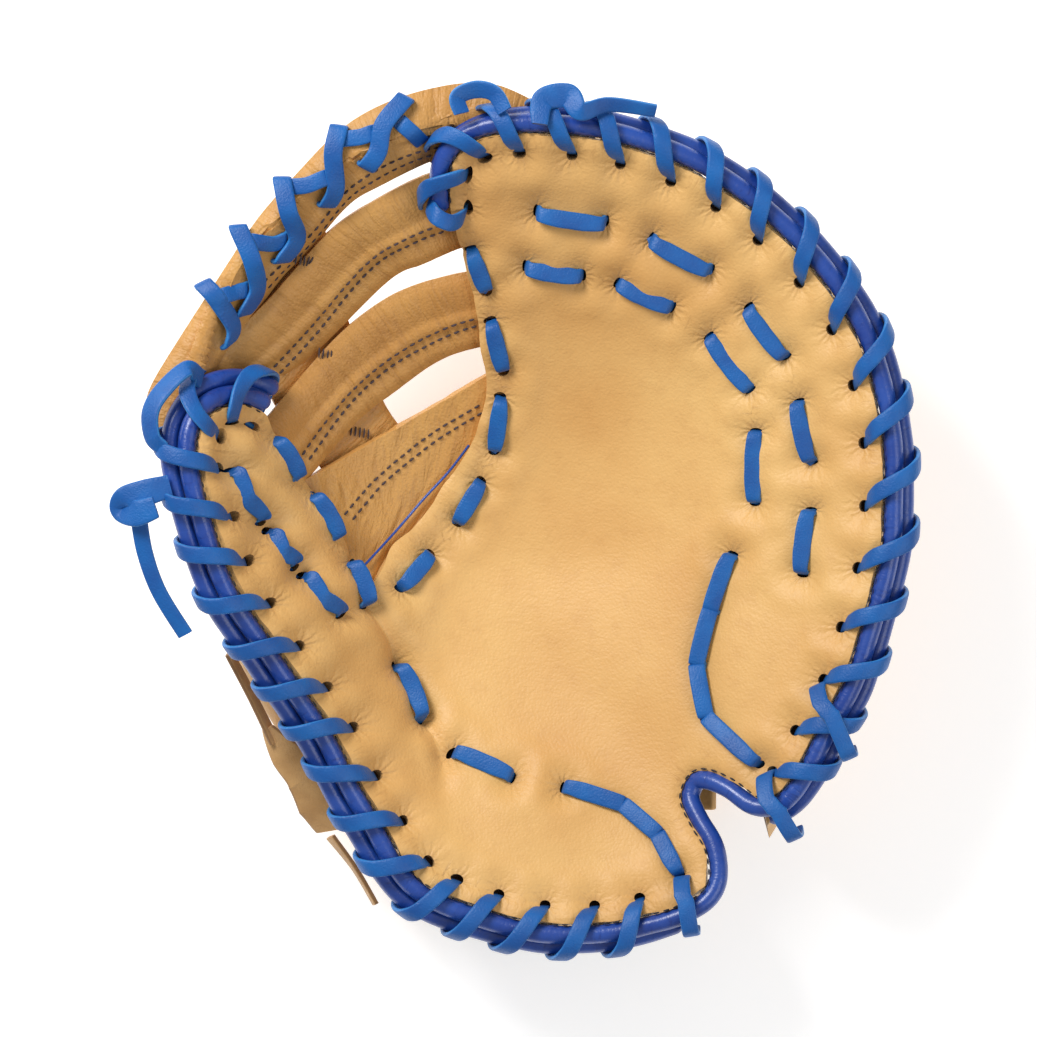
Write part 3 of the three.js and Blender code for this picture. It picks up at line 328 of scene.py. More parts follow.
def smoothed(values, reach):
    """Numbers or rows of them, each the mean of its neighbours, with the ends kept."""
    if values.ndim > 1:
        return np.column_stack([smoothed(column, reach) for column in values.T])
    kernel = np.ones(2 * reach + 1) / (2 * reach + 1)
    padded = np.pad(values, reach, mode="reflect", reflect_type="odd")
    return np.convolve(padded, kernel, mode="valid")


def directions(points):
    """Unit direction of a curve at each of its points."""
    return unit(np.gradient(points, axis=0))


def beside_line(points, distance):
    """An open plan line moved to its right-hand side."""
    along = directions(points)
    return points + np.column_stack([along[:, 1], -along[:, 0]]) * distance


def hump(away, spread):
    """A smooth bump: 1 in the middle, close to 0 past twice the spread."""
    return np.exp(-((away / spread) ** 2))


# %% The dish of the front leather
def rim_value(angle, column):
    """Value of a column of the rim table at an angle, smooth between its rows."""
    table = np.array(RIM[column])
    place = np.mod(angle / (2 * np.pi), 1) * len(table)
    base = np.floor(place).astype(int)
    near = (table[np.mod(base + step, len(table))] for step in (-1, 0, 1, 2))
    return spline(*near, place - base)


def from_pocket(x, y):
    """Angle of plan points round the pocket, and their share of the way to the rim."""
    du, dv = x / HALF_WIDTH - POCKET[0], y / HALF_LENGTH - POCKET[1]
    angle = np.arctan2(dv, du)
    return angle, np.hypot(du, dv) / rim_value(angle, "reach")


def dish_height(x, y):
    """Height of the middle of the front leather over plan points."""
    angle, share = from_pocket(x, y)
    share = np.minimum(1, share)
    rim = RIM_HEIGHT * rim_value(angle, "rise")
    bowl = POCKET_HEIGHT + (rim - POCKET_HEIGHT) * share**BOWL_POWER
    pads = 0
    for u, v, spread, swell in PADS:
        away = np.hypot(x / HALF_WIDTH - u, y / HALF_LENGTH - v) / spread
        pads = pads + swell * PALM_THICKNESS * np.exp(-away * away)
    return bowl + (1 - share**4) * pads


def dish_normal(x, y):
    """Upward direction of the dish over plan points."""
    step = 0.001
    slope_x = (dish_height(x + step, y) - dish_height(x - step, y)) / (2 * step)
    slope_y = (dish_height(x, y + step) - dish_height(x, y - step)) / (2 * step)
    return unit(np.stack([-slope_x, -slope_y, np.ones_like(slope_x)], 1))


def over_dish(place, lift):
    """Points some metres over the dish along its normal."""
    x, y = place[:, 0], place[:, 1]
    at = np.stack([x, y, dish_height(x, y)], 1)
    return at + dish_normal(x, y) * np.asarray(lift).reshape(-1, 1)


print("Pocket floor at", round(float(dish_height(np.array([-0.02]), np.array([-0.015]))[0]), 4))

# %% The rim and its two rolls
class Rim:
    """A rim curve in plan, which gives points beside it at any share of its length."""

    def __init__(self, rows):
        self.points = smooth(rows, 1500)
        self.along = directions(self.points)
        self.length = distances(self.points)[-1]

    def at(self, share, values):
        place = np.clip(share, 0, 1) * (len(values) - 1)
        return looked_up(place, np.arange(len(values)), values)

    def beside(self, share, out, up):
        """Points out metres to the side and up metres over the front leather."""
        share, out, up = np.broadcast_arrays(share, out, up)
        base = self.at(share, self.points)
        along = self.at(share, self.along)
        place = base + np.stack([along[:, 1], -along[:, 0]], 1) * out[:, None]
        under = np.where((out > 0)[:, None], base, place)
        return np.column_stack([place, dish_height(under[:, 0], under[:, 1]) + up])

    def direction(self, share, out, up):
        """Direction along the rim beside it."""
        step = 0.002
        return unit(self.beside(share + step, out, up) - self.beside(share - step, out, up))


thumb_rim = Rim(THUMB_TIP + THUMB_SIDE + HEEL)
finger_rim = Rim(LOBE + FINGER_SIDE + FINGER_TIP)
whole_rim = Rim(THUMB_TIP + THUMB_SIDE + HEEL + NOTCH + LOBE + FINGER_SIDE + FINGER_TIP)
ROLL_STEP = 2 * ROLL_RADIUS + ROLL_SPACE
FRONT_ROLL = (ROLL_RADIUS + 2 * GAP, 0.0)


def back_roll(stack, share):
    """How far out and up the back roll lies: beside the front one, or partly under it."""
    table = np.array(stack, float)
    side = np.interp(share, table[:, 0], table[:, 1])
    return FRONT_ROLL[0] + side * ROLL_STEP, -np.sqrt(1 - side**2) * ROLL_STEP


print("Finger rim", round(finger_rim.length, 3), "m, thumb rim", round(thumb_rim.length, 3), "m")

# %% [markdown]
# ## Modelling helpers
# A grid primitive whose vertices are moved to their real places makes sheets, ribbons and
# rolls alike. A sheet then gets its thickness from Solidify. A ribbon or roll wraps the grid
# round its section, so its seam is merged and its ends are filled.

# %% Making and finishing a piece
def only(piece):
    """Makes one object the only selected and active one."""
    bpy.ops.object.select_all(action="DESELECT")
    piece.select_set(True)
    bpy.context.view_layer.objects.active = piece


def read(data, key, width):
    """Rows of numbers of a part of a mesh."""
    flat = np.empty(len(data) * width)
    data.foreach_get(key, flat)
    return flat.reshape(-1, width)


def places_of(piece):
    """The place of each vertex."""
    return read(piece.data.vertices, "co", 3)


def move_to(piece, places):
    """Moves each vertex to its new place."""
    piece.data.vertices.foreach_set("co", places.ravel())
    piece.data.update()


def keep_values(piece, name, kind, key, values):
    """Writes a named value for each vertex."""
    layer = piece.data.attributes.new(name, kind, "POINT")
    layer.data.foreach_set(key, np.ravel(values))


def new_piece(name, places, faces):
    """An object with these vertices and faces."""
    mesh = bpy.data.meshes.new(name)
    mesh.from_pydata(places, [], faces)
    piece = bpy.data.objects.new(name, mesh)
    bpy.context.collection.objects.link(piece)
    return piece


def moulded(name, along, across, place):
    """A grid of along by across cells, each vertex moved to place(s, t), s and t from 0 to 1."""
    bpy.ops.object.select_all(action="DESELECT")
    bpy.ops.mesh.primitive_grid_add(x_subdivisions=along, y_subdivisions=across, size=1)
    piece = bpy.context.object
    piece.name = name
    s, t, _ = (places_of(piece) + 0.5).T
    move_to(piece, place(s, t))
    return piece


def scale_uv(piece, length, width, swapped=False):
    """Gives the grid's UV map the real size of the leather, its directions exchanged or not."""
    layer = piece.data.uv_layers.active.data
    uv = read(layer, "uv", 2) * (length, width)
    layer.foreach_set("uv", (uv[:, ::-1] if swapped else uv).ravel())


def edit(piece, *steps):
    """Runs edit-mode operators on the whole piece."""
    only(piece)
    bpy.ops.object.mode_set(mode="EDIT")
    bpy.ops.mesh.select_all(action="SELECT")
    for step in steps:
        step()
    bpy.ops.object.mode_set(mode="OBJECT")


def modify(piece, kind, **settings):
    """Adds a modifier with these settings and applies it."""
    only(piece)
    modifier = piece.modifiers.new(kind.title(), kind)
    for key, value in settings.items():
        setattr(modifier, key, value)
    bpy.ops.object.modifier_apply(modifier=modifier.name)


def close_up(piece):
    """Merges the seam of a wrapped grid, fills its ends and turns its faces outwards."""

    def fill():
        bpy.ops.mesh.select_all(action="DESELECT")
        bpy.ops.mesh.select_mode(type="EDGE")
        bpy.ops.mesh.select_non_manifold(extend=False)
        bpy.ops.mesh.fill_holes(sides=0)
        bpy.ops.mesh.select_all(action="SELECT")
        bpy.ops.mesh.normals_make_consistent(inside=False)

    edit(piece, lambda: bpy.ops.mesh.remove_doubles(threshold=0.00001), fill)


def soften(piece, degrees=60):
    """Smooth shading, with edges sharper than the angle left crisp."""
    only(piece)
    bpy.ops.object.shade_smooth_by_angle(angle=math.radians(degrees))


def joined(name, pieces):
    """Joins several objects into the first and names the result."""
    bpy.ops.object.select_all(action="DESELECT")
    for piece in pieces:
        piece.select_set(True)
    bpy.context.view_layer.objects.active = pieces[0]
    bpy.ops.object.join()
    pieces[0].name = name
    return pieces[0]


def place_in_frame(piece, finish, slot, *nodes):
    """Moves the mesh to the frame's centre, gives it its finish, hides the CAD parts it stands for
    and hangs it under the root.
    """
    mesh = piece.data
    move_to(piece, places_of(piece) - CENTRE)
    if not mesh.materials:
        mesh.materials.append(finish)
    if nodes:
        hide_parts(*nodes)
    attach(piece, "root")
    print(piece.name, len(mesh.polygons), "faces")
    return piece


# %% Ribbons, rolls and stitches
def section(t, width, thickness, roundness):
    """Point of a rounded section at a share t of the way round it."""
    turn = 2 * np.pi * t
    c, s = np.cos(turn), np.sin(turn)
    x = 0.5 * width * np.sign(c) * np.abs(c) ** roundness
    y = 0.5 * thickness * np.sign(s) * np.abs(s) ** roundness
    return x, y


MOST_LEAN = 0.8


def ribbon(name, at, side, width, thickness, roundness=0.45, around=16, wide=1.0, upright=False,
           round_ends=False):
    """A strip of leather along stations, its section's width along side."""
    along = directions(at)
    if upright:
        side = unit(side - along * np.sum(side * along, 1)[:, None])
    lean = np.sum(side * along, 1)
    up = unit(np.cross(along, side))
    breadth = wide / np.sqrt(1 - np.minimum(MOST_LEAN, lean**2))
    steps = len(at) - 1
    lengths = distances(at)
    tall = np.ones(len(at))
    if round_ends:
        from_end = np.minimum(lengths, lengths[-1] - lengths) / (width / 2)
        tall = np.sqrt(np.clip(1 - (1 - np.minimum(1, from_end)) ** 2, 0.02, 1))
        breadth = breadth * tall

    def place(s, t):
        k = np.rint(s * steps).astype(int)
        x, y = section(t, width, thickness, roundness)
        return at[k] + side[k] * (x * breadth[k])[:, None] + up[k] * (y * tall[k])[:, None]

    piece = moulded(name, steps, around, place)
    scale_uv(piece, lengths[-1], 2 * (width + thickness))
    close_up(piece)
    return piece


THREAD_BOW = 0.6


def stitches(name, starts, ends, up, radius):
    """Short threads, each a small drawn-out sphere from a start to an end."""
    bpy.ops.object.select_all(action="DESELECT")
    bpy.ops.mesh.primitive_uv_sphere_add(segments=6, ring_count=5, radius=1)
    model = bpy.context.object
    corners = places_of(model)
    faces = [tuple(face.vertices) for face in model.data.polygons]
    bpy.data.objects.remove(model)
    middle = (starts + ends) / 2
    length = np.linalg.norm(ends - starts, axis=1)
    along = unit(ends - starts)
    across = unit(np.cross(up, along))
    over = np.cross(along, across)
    x, y, z = corners.T
    bow = THREAD_BOW * (1 - z**2)
    points, all_faces = [], []
    for k in range(len(starts)):
        base = k * len(corners)
        points.append(
            middle[k]
            + np.outer(z * length[k] / 2, along[k])
            + np.outer(x * radius, across[k])
            + np.outer((y + bow) * radius, over[k])
        )
        all_faces += [tuple(base + corner for corner in face) for face in faces]
    piece = new_piece(name, np.concatenate(points).tolist(), all_faces)
    soften(piece, 180)
    return piece


# %% [markdown]
# ## Finishes
# Leather is never one flat colour. Each finish mixes a slow drift of colour with the grain at
# its real size, and the grain also drives roughness and a bump. The maths is written as Python
# on small wrapped sockets, which keeps a finish short enough to read.

# %% Shader maths as Python
class Value:
    """One shader socket, with the usual operators."""

    def __init__(self, finish, socket):
        self.finish = finish
        self.socket = socket

    def maths(self, operation, first, second):
        return self.finish.node("ShaderNodeMath", {"operation": operation}, {0: first, 1: second})

    def __add__(self, other):
        return self.maths("ADD", self, other)

    def __sub__(self, other):
        return self.maths("SUBTRACT", self, other)

    def __rsub__(self, other):
        return self.maths("SUBTRACT", other, self)

    def __mul__(self, other):
        return self.maths("MULTIPLY", self, other)

    def __pow__(self, other):
        return self.maths("POWER", self, other)

    __radd__ = __add__
    __rmul__ = __mul__


class Finish:
    """A material whose nodes are made by one method."""

    def __init__(self, name, roughness=0.5, coat=0.0, coat_roughness=0.3, sheen=0.0):
        self.material = bpy.data.materials.new(name)
        self.material.use_nodes = True
        self.tree = self.material.node_tree
        self.shader = self.tree.nodes["Principled BSDF"]
        constants = {
            "Roughness": roughness,
            "Coat Weight": coat,
            "Coat Roughness": coat_roughness,
            "Sheen Weight": sheen,
        }
        for socket, value in constants.items():
            self.shader.inputs[socket].default_value = value

    def node(self, kind, settings=None, inputs=None, output=0):
        made = self.tree.nodes.new(kind)
        for key, value in (settings or {}).items():
            if key == "stops":
                ramp = made.color_ramp
                for stop, (place, colour) in zip(ramp.elements, value):
                    stop.position = place
                    stop.color = colour
            else:
                setattr(made, key, value)
        for key, value in (inputs or {}).items():
            self.feed(made.inputs[key], value)
        return Value(self, made.outputs[output])

    def feed(self, socket, value):
        if isinstance(value, Value):
            self.tree.links.new(value.socket, socket)
        else:
            socket.default_value = value

    def set(self, **values):
        for key, value in values.items():
            self.feed(self.shader.inputs[key.replace("_", " ")], value)

    def place(self, source="Object"):
        return self.node("ShaderNodeTexCoord", output=source)

    def stretched(self, place, scale, turn=0.0):
        """Coordinates turned about Z and scaled."""
        inputs = {"Vector": place, "Rotation": (0, 0, turn), "Scale": scale}
        return self.node("ShaderNodeMapping", {"vector_type": "POINT"}, inputs)

    def noise(self, place, scale, detail=2.0, rough=0.5, distortion=0.0):
        inputs = {
            "Vector": place,
            "Scale": scale,
            "Detail": detail,
            "Roughness": rough,
            "Distortion": distortion,
        }
        return self.node("ShaderNodeTexNoise", {}, inputs)

    def cells(self, place, scale, feature="F1"):
        inputs = {"Vector": place, "Scale": scale}
        return self.node("ShaderNodeTexVoronoi", {"feature": feature}, inputs)

    def between(self, value, low, high):
        """0 under low, 1 over high."""
        inputs = {"Value": value, "From Min": low, "From Max": high}
        return self.node("ShaderNodeMapRange", {"clamp": True}, inputs)

    def mix(self, factor, first, second):
        """Colour from first to second."""
        settings = {"data_type": "RGBA", "clamp_factor": True}
        inputs = {0: factor, 6: first, 7: second}
        return self.node("ShaderNodeMix", settings, inputs, output=2)

    def drifting(self, place, scale, light, dark, margin=0.3):
        """Two colours that run slowly into each other."""
        drift = self.between(self.noise(place, scale, 3), margin, 1 - margin)
        return self.mix(drift, shade(*light), shade(*dark))

    def attribute(self, name, output="Fac"):
        return self.node("ShaderNodeAttribute", {"attribute_name": name}, output=output)

    def bump(self, height, distance, strength=1.0):
        inputs = {"Height": height, "Distance": distance, "Strength": strength}
        self.set(Normal=self.node("ShaderNodeBump", {}, inputs))


def shade(red, green, blue):
    """A colour as seen on a screen, 0 to 255, in the shader's own linear scale."""

    def linear(value):
        value /= 255
        return value / 12.92 if value <= 0.04045 else ((value + 0.055) / 1.055) ** 2.4

    return (linear(red), linear(green), linear(blue), 1.0)


# %% Tan leather
def tan_finish(name, light, dark, crease=True):
    finish = Finish(name, sheen=0.06)
    place = finish.place()
    mottle = finish.noise(place, 190, 3, 0.6)
    pebble = finish.cells(place, 1150, "SMOOTH_F1")
    pores = finish.noise(place, 2600, 1)
    fold = finish.noise(finish.stretched(place, (1.0, 2.4, 1.0), 0.6), 240, 4, 0.62, 0.6)
    colour = finish.drifting(place, 16, light, dark, 0.32)
    colour = finish.mix(finish.between(mottle, 0.5, 0.8) * 0.22, colour, shade(186, 134, 74))
    height = pebble * 0.5 + pores * 0.12 + fold * 0.45
    if crease:
        offset = finish.attribute("from_hole", "Vector")
        gather = finish.attribute("gather")
        away = finish.node("ShaderNodeVectorMath", {"operation": "LENGTH"}, {0: offset}, output=1)
        parts = finish.node("ShaderNodeSeparateXYZ", {}, {0: offset})
        other = Value(finish, parts.socket.node.outputs[1])
        angle = finish.node("ShaderNodeMath", {"operation": "ARCTAN2"}, {0: other, 1: parts})
        wobble = finish.noise(place, 380, 2) * 7
        ray = finish.node("ShaderNodeMath", {"operation": "SINE"}, {0: angle * 11 + wobble})
        height = height + ray * gather * 0.4
        # Painted shade round each lace hole, partly real dirt too: the tan darkens within a few
        # millimetres of the hole.
        hole_shade_and_grime = (1 - finish.between(away, 0.0018, 0.0042)) * gather
        colour = finish.mix(hole_shade_and_grime * 0.4, colour, shade(150, 98, 50))
        rim = finish.attribute("rim_place", "Vector")
        near_rim = finish.attribute("near_rim")
        pucker = finish.noise(finish.stretched(rim, (1.0, 0.22, 1.0)), 520, 3, 0.6, 0.5)
        height = height + pucker * near_rim * 1.5
        # Painted shade in the valleys of the puckers along the rim: where the pucker bump is low, the
        # tan darkens.
        pucker_valley_shade = finish.between(pucker, 0.45, 0.3) * near_rim * 0.5
        colour = finish.mix(pucker_valley_shade, colour, shade(168, 116, 62))
    finish.set(Base_Color=colour)
    finish.set(Roughness=finish.between(pebble, 0.0, 1.2) * 0.16 + 0.46)
    finish.bump(height, 0.00042, 0.55)
    return finish.material


tan_leather = tan_finish("tan_leather", (226, 181, 112), (211, 159, 91))
back_leather = tan_finish("back_leather", (224, 179, 112), (208, 158, 92), crease=False)


# %% Wrinkled leather of the web
def web_finish():
    finish = Finish("web_leather", sheen=0.05)
    place = finish.place()
    uv = finish.place("UV")
    lines = finish.noise(finish.stretched(uv, (1.0, 0.2, 1.0)), 430, 3, 0.55, 0.9)
    broad = finish.noise(finish.stretched(uv, (1.0, 0.25, 1.0)), 120, 3, 0.6, 0.8)
    pebble = finish.cells(place, 1200, "SMOOTH_F1")
    colour = finish.drifting(place, 22, (208, 156, 84), (188, 132, 64))
    # Painted shade in the wrinkles: where the wrinkle bump is low, the tan darkens.
    colour = finish.mix(finish.between(lines, 0.5, 0.3) * 0.3, colour, shade(146, 94, 42))
    finish.set(Base_Color=colour)
    finish.set(Roughness=finish.between(lines, 0.2, 0.8) * 0.14 + 0.42)
    finish.bump(lines * 0.9 + broad * 1.6 + pebble * 0.25, 0.0009, 0.75)
    return finish.material


web_leather = web_finish()


# %% Blue leathers: the glossy rolls and the laces
def binding_finish():
    finish = Finish("blue_binding", roughness=0.34, coat=0.3, coat_roughness=0.22)
    place = finish.place()
    uv = finish.place("UV")
    folds = finish.noise(finish.stretched(uv, (1.0, 0.25, 1.0)), 480, 4, 0.6, 0.8)
    pebble = finish.cells(place, 1500, "SMOOTH_F1")
    colour = finish.drifting(place, 60, (36, 78, 164), (24, 58, 140))
    # Painted shade in the folds: where the fold bump is low, the blue darkens.
    colour = finish.mix(finish.between(folds, 0.42, 0.25) * 0.5, colour, shade(14, 28, 96))
    finish.set(Base_Color=colour)
    finish.set(Roughness=finish.between(folds, 0.2, 0.8) * 0.14 + 0.27)
    finish.bump(folds * 0.8 + pebble * 0.25, 0.0004, 0.6)
    return finish.material


def lace_finish():
    finish = Finish("blue_lace", sheen=0.04)
    place = finish.place()
    fibres = finish.noise(place, 1400, 3, 0.65)
    pebble = finish.cells(place, 1700, "SMOOTH_F1")
    cut = finish.between(finish.attribute("cut_edge"), 0.45, 0.8)
    colour = finish.drifting(place, 90, (4, 98, 174), (2, 76, 150))
    colour = finish.mix(cut * (fibres * 0.7 + 0.25), colour, shade(56, 140, 206))
    finish.set(Base_Color=colour)
    finish.set(Roughness=fibres * 0.25 + 0.36)
    finish.bump(pebble * 0.5 + fibres * 0.6, 0.00035, 0.6)
    return finish.material


def suede_finish():
    finish = Finish("suede_lace", roughness=0.85, sheen=0.3)
    place = finish.place()
    fibres = finish.noise(place, 1500, 4, 0.7)
    cut = finish.between(finish.attribute("cut_edge"), 0.3, 0.75)
    colour = finish.drifting(place, 130, (206, 162, 104), (184, 138, 82))
    colour = finish.mix(cut * (fibres * 0.5 + 0.5), colour, shade(122, 82, 46))
    finish.set(Base_Color=colour)
    finish.bump(fibres, 0.0005, 0.7)
    return finish.material


def thread_finish(name, colour):
    finish = Finish(name, roughness=0.6, sheen=0.2)
    place = finish.place()
    strand = finish.noise(place, 2600, 2)
    dark = tuple(0.45 * part for part in colour[:3]) + (1.0,)
    finish.set(Base_Color=finish.mix(strand, dark, colour))
    finish.bump(strand, 0.0002, 0.6)
    return finish.material


blue_binding = binding_finish()
blue_lace = lace_finish()
suede_lace = suede_finish()
dark_thread = thread_finish("dark_thread", shade(74, 56, 62))
black_thread = thread_finish("black_thread", shade(24, 24, 34))


def lining_finish():
    finish = Finish("lining", roughness=0.85, sheen=0.2)
    place = finish.place()
    nap = finish.noise(place, 900, 4, 0.7)
    finish.set(Base_Color=finish.mix(nap, shade(40, 26, 20), shade(70, 46, 30)))
    finish.bump(nap, 0.0005, 0.6)
    return finish.material


lining = lining_finish()
print("Materials:", len(bpy.data.materials))

# %% [markdown]
# ## The front leather
# One hide runs from the thumb to the little finger. Its outline is fixed and it has a hole for
# every lace, so a triangulated sheet with those holes in it suits better than a grid. The
# points are then lifted to the dish, and the leather gathers a little at each hole.

# %% Where the laces go through the front leather
# Rows of a continuous lace that end closer than this to the next row meet it
CLOSE_ROWS = 0.009
CONTINUOUS = ("palm_lace_inner", "heel_lace")
# Half length of a hole, half widths of the two kinds, and how far each lies past its lace
HOLE_REACH = 0.46 * LACE_WIDTH
RIM_HOLE, ROW_HOLE = 0.0022, 0.0017
HOLE_PAST, ROW_HOLE_PAST = 0.0004, 0.0008
holes = []
for rim, shares in ((finger_rim, FINGER_HOLES), (thumb_rim, THUMB_HOLES)):
    shares = np.array(shares)
    inset = rim.beside(shares, -HOLE_INSET - HOLE_PAST, 0.0)[:, :2]
    way = rim.at(shares, rim.along)
    holes += [(at, along, HOLE_REACH, RIM_HOLE) for at, along in zip(inset, way)]


def dash_table(name):
    """Start, end, and whether a dash meets the one before it and the one after it."""
    table = []
    rows = RUNNING[name]
    close = CLOSE_ROWS if name in CONTINUOUS else 0
    ends = [metres([row[:2], row[2:]]) for row in rows]
    for k, (start, end) in enumerate(ends):
        meets_last = k > 0 and np.linalg.norm(start - ends[k - 1][1]) < close
        meets_next = k + 1 < len(ends) and np.linalg.norm(ends[k + 1][0] - end) < close
        if meets_last:
            start = (start + ends[k - 1][1]) / 2
        if meets_next:
            end = (end + ends[k + 1][0]) / 2
        table.append((start, end, meets_last, meets_next))
    return table


dashes = []
for name in RUNNING:
    for start, end, meets_last, meets_next in dash_table(name):
        way = unit(end - start)
        across = np.array([-way[1], way[0]])
        dashes.append((start, end))
        if not meets_last:
            holes.append((start - way * ROW_HOLE_PAST, across, HOLE_REACH, ROW_HOLE))
        if not meets_next:
            holes.append((end + way * ROW_HOLE_PAST, across, HOLE_REACH, ROW_HOLE))
print(len(holes), "lace holes")


# %% Sheet with its outline and holes
AT_ONCE = 50


def inside(points, polygon):
    """Whether plan points lie in a polygon, by counting the edges to their right."""
    x, y = points[:, 0], points[:, 1]
    result = np.zeros(len(points), bool)
    for (x1, y1), (x2, y2) in zip(polygon, np.roll(polygon, -1, axis=0)):
        crosses = (y1 > y) != (y2 > y)
        if y1 != y2:
            result ^= crosses & (x < (x2 - x1) * (y - y1) / (y2 - y1) + x1)
    return result


def nearest_on(points, line):
    """Distance of plan points to the nearest point of a dense line, and its number there."""
    best, index = np.full(len(points), 1.0), np.zeros(len(points))
    for start in range(0, len(line), AT_ONCE):
        apart = np.linalg.norm(points[:, None] - line[None, start : start + AT_ONCE], axis=2)
        closer = apart.min(1) < best
        index[closer] = start + apart.argmin(1)[closer]
        best[closer] = apart.min(1)[closer]
    return best, index


def distance_to(points, line):
    """Distance of plan points to the nearest point of a dense line."""
    best, _ = nearest_on(points, line)
    return best


def grown(points, distance):
    """Plan outline moved outwards by a distance."""
    before, following = np.roll(points, 1, axis=0), np.roll(points, -1, axis=0)
    along = unit(following - before)
    area = np.sum(points[:, 0] * following[:, 1] - following[:, 0] * points[:, 1])
    turned = distance if area > 0 else -distance
    return points + np.column_stack([along[:, 1], -along[:, 0]]) * turned


# Size of a triangle, height of a row of them as a share of it, and the zone round a hole
SPACING = 0.0017
ROW_SHARE = 0.866
ROUND_HOLE = 0.006
outline = np.concatenate(
    [
        smooth(THUMB_TIP + THUMB_SIDE + HEEL + NOTCH[:1], 300),
        smooth(NOTCH + LOBE[:1], 60)[1:],
        smooth(LOBE + FINGER_SIDE + FINGER_TIP + PALM_EDGE[:1], 330)[1:],
        smooth(PALM_EDGE + THUMB_EDGE + THUMB_TIP[:1], 160)[1:-1],
    ]
)


def hole_polygon(at, along, half_length, half_width, count=14):
    turn = np.linspace(0, 2 * np.pi, count, endpoint=False)
    across = np.array([-along[1], along[0]])
    return (
        at
        + np.outer(np.cos(turn) * half_length, along)
        + np.outer(np.sin(turn) * half_width, across)
    )


def sheet_with_holes(name, outline, hole_rows, spacing):
    """Triangles in plan inside the outline and outside the holes."""
    cuts = [hole_polygon(*row) for row in hole_rows]
    cuts = [ring for ring in cuts if inside(ring, outline).all()]
    low, high = outline.min(0), outline.max(0)
    apart = spacing * ROW_SHARE
    points = []
    for row in range(int((high[1] - low[1]) / apart) + 1):
        x = np.arange(low[0] + (row % 2) * spacing / 2, high[0], spacing)
        points.append(np.column_stack([x, np.full(len(x), low[1] + row * apart)]))
    points = np.concatenate(points)
    points = points[inside(points, outline)]
    points = points[distance_to(points, outline) > 0.6 * spacing]
    for ring in cuts:
        near = np.linalg.norm(points - ring.mean(0), axis=1) < ROUND_HOLE
        keep = np.ones(len(points), bool)
        close = distance_to(points[near], evenly(np.vstack([ring, ring[:1]]), 60))
        keep[near] = (close > 0.45 * spacing) & ~inside(points[near], ring)
        points = points[keep]
    corners = [Vector(p) for p in points]
    edges = []
    for ring in [outline, *cuts]:
        base = len(corners)
        corners += [Vector(p) for p in ring]
        edges += [(base + k, base + (k + 1) % len(ring)) for k in range(len(ring))]
    made = geometry.delaunay_2d_cdt(corners, edges, [], 0, 1e-7)
    flat = np.array([v[:] for v in made[0]])
    faces = np.array([f[:] for f in made[2]])
    centres = flat[faces].mean(1)
    keep = inside(centres, outline)
    for ring in cuts:
        near = np.linalg.norm(centres - ring.mean(0), axis=1) < ROUND_HOLE
        keep[near] &= ~inside(centres[near], ring)
    faces = faces[keep]
    used = np.unique(faces)
    renumber = np.full(len(flat), -1)
    renumber[used] = np.arange(len(used))
    places = np.column_stack([flat[used], np.zeros(len(used))])
    return new_piece(name, places.tolist(), renumber[faces].tolist())


palm = sheet_with_holes("palm_leather", outline, holes, SPACING)
print("Front leather:", len(palm.data.polygons), "triangles")


# %% Gathers, puckers and the turned edge
# Depth and half width of the dip at a hole, the swell round it, the press of a lace and the edge
HOLE_DIP = (0.0016, 0.0045)
HOLE_SWELL = (0.0005, 0.0035)
SWELL_AT = 0.009
LACE_PRESS = (0.0007, 0.0045)
EDGE_TURN = (0.0011, 0.0016)
# Each crease is a plan curve with its depth and half width in metres
CREASES = [
    (
        [(-0.42, -0.02), (-0.375, -0.19), (-0.3, -0.33), (-0.215, -0.51), (-0.19, -0.62)],
        0.004, 0.0036,
    ),
    ([(-0.36, -0.25), (-0.34, -0.42), (-0.3, -0.56)], -0.0014, 0.007),
    ([(0.05, 0.62), (0.3, 0.56), (0.5, 0.4), (0.63, 0.15), (0.62, -0.1)], -0.0012, 0.0065),
    ([(0.52, -0.1), (0.47, -0.3), (0.5, -0.46)], 0.001, 0.006),
    ([(-0.3, 0.0), (-0.1, -0.1), (0.2, -0.1), (0.4, -0.02)], 0.0009, 0.012),
]


def away_from(points, start, end):
    """Distance of plan points to a straight line from start to end."""
    span = end - start
    t = np.clip(((points - start) @ span) / (span @ span), 0, 1)
    return np.linalg.norm(points - start - t[:, None] * span, axis=1)


def relief(x, y):
    """How far the front leather stands over the plain dish."""
    points = np.column_stack([x, y])
    height = np.zeros(len(x))
    for at, along, half_length, _ in holes:
        offset = points - at
        reach = (np.abs(offset) < 0.02).all(1)
        part = offset[reach]
        beyond = np.maximum(0, np.abs(part @ along) - half_length * 0.6)
        across = part @ np.array([-along[1], along[0]])
        away = np.hypot(beyond, across)
        height[reach] -= HOLE_DIP[0] * hump(away, HOLE_DIP[1])
        height[reach] += HOLE_SWELL[0] * hump(away - SWELL_AT, HOLE_SWELL[1])
    for start, end in dashes:
        height -= LACE_PRESS[0] * hump(away_from(points, start, end), LACE_PRESS[1])
    for rows, depth, width in CREASES:
        line = evenly(through(metres(rows), 400), 80)
        ends = np.minimum(*(np.linalg.norm(points - line[k], axis=1) for k in (0, -1)))
        height -= depth * hump(distance_to(points, line), width) * np.clip(0.3 + ends / 0.03, 0, 1)
    return height - EDGE_TURN[0] * hump(distance_to(points, outline), EDGE_TURN[1])


def laid_on_dish(piece, drop=0.0):
    """Lifts a plan sheet to the dish and its relief, less a drop, and gives its plan back."""
    plan = places_of(piece)[:, :2]
    move_to(piece, over_dish(plan, relief(*plan.T) - drop))
    return plan


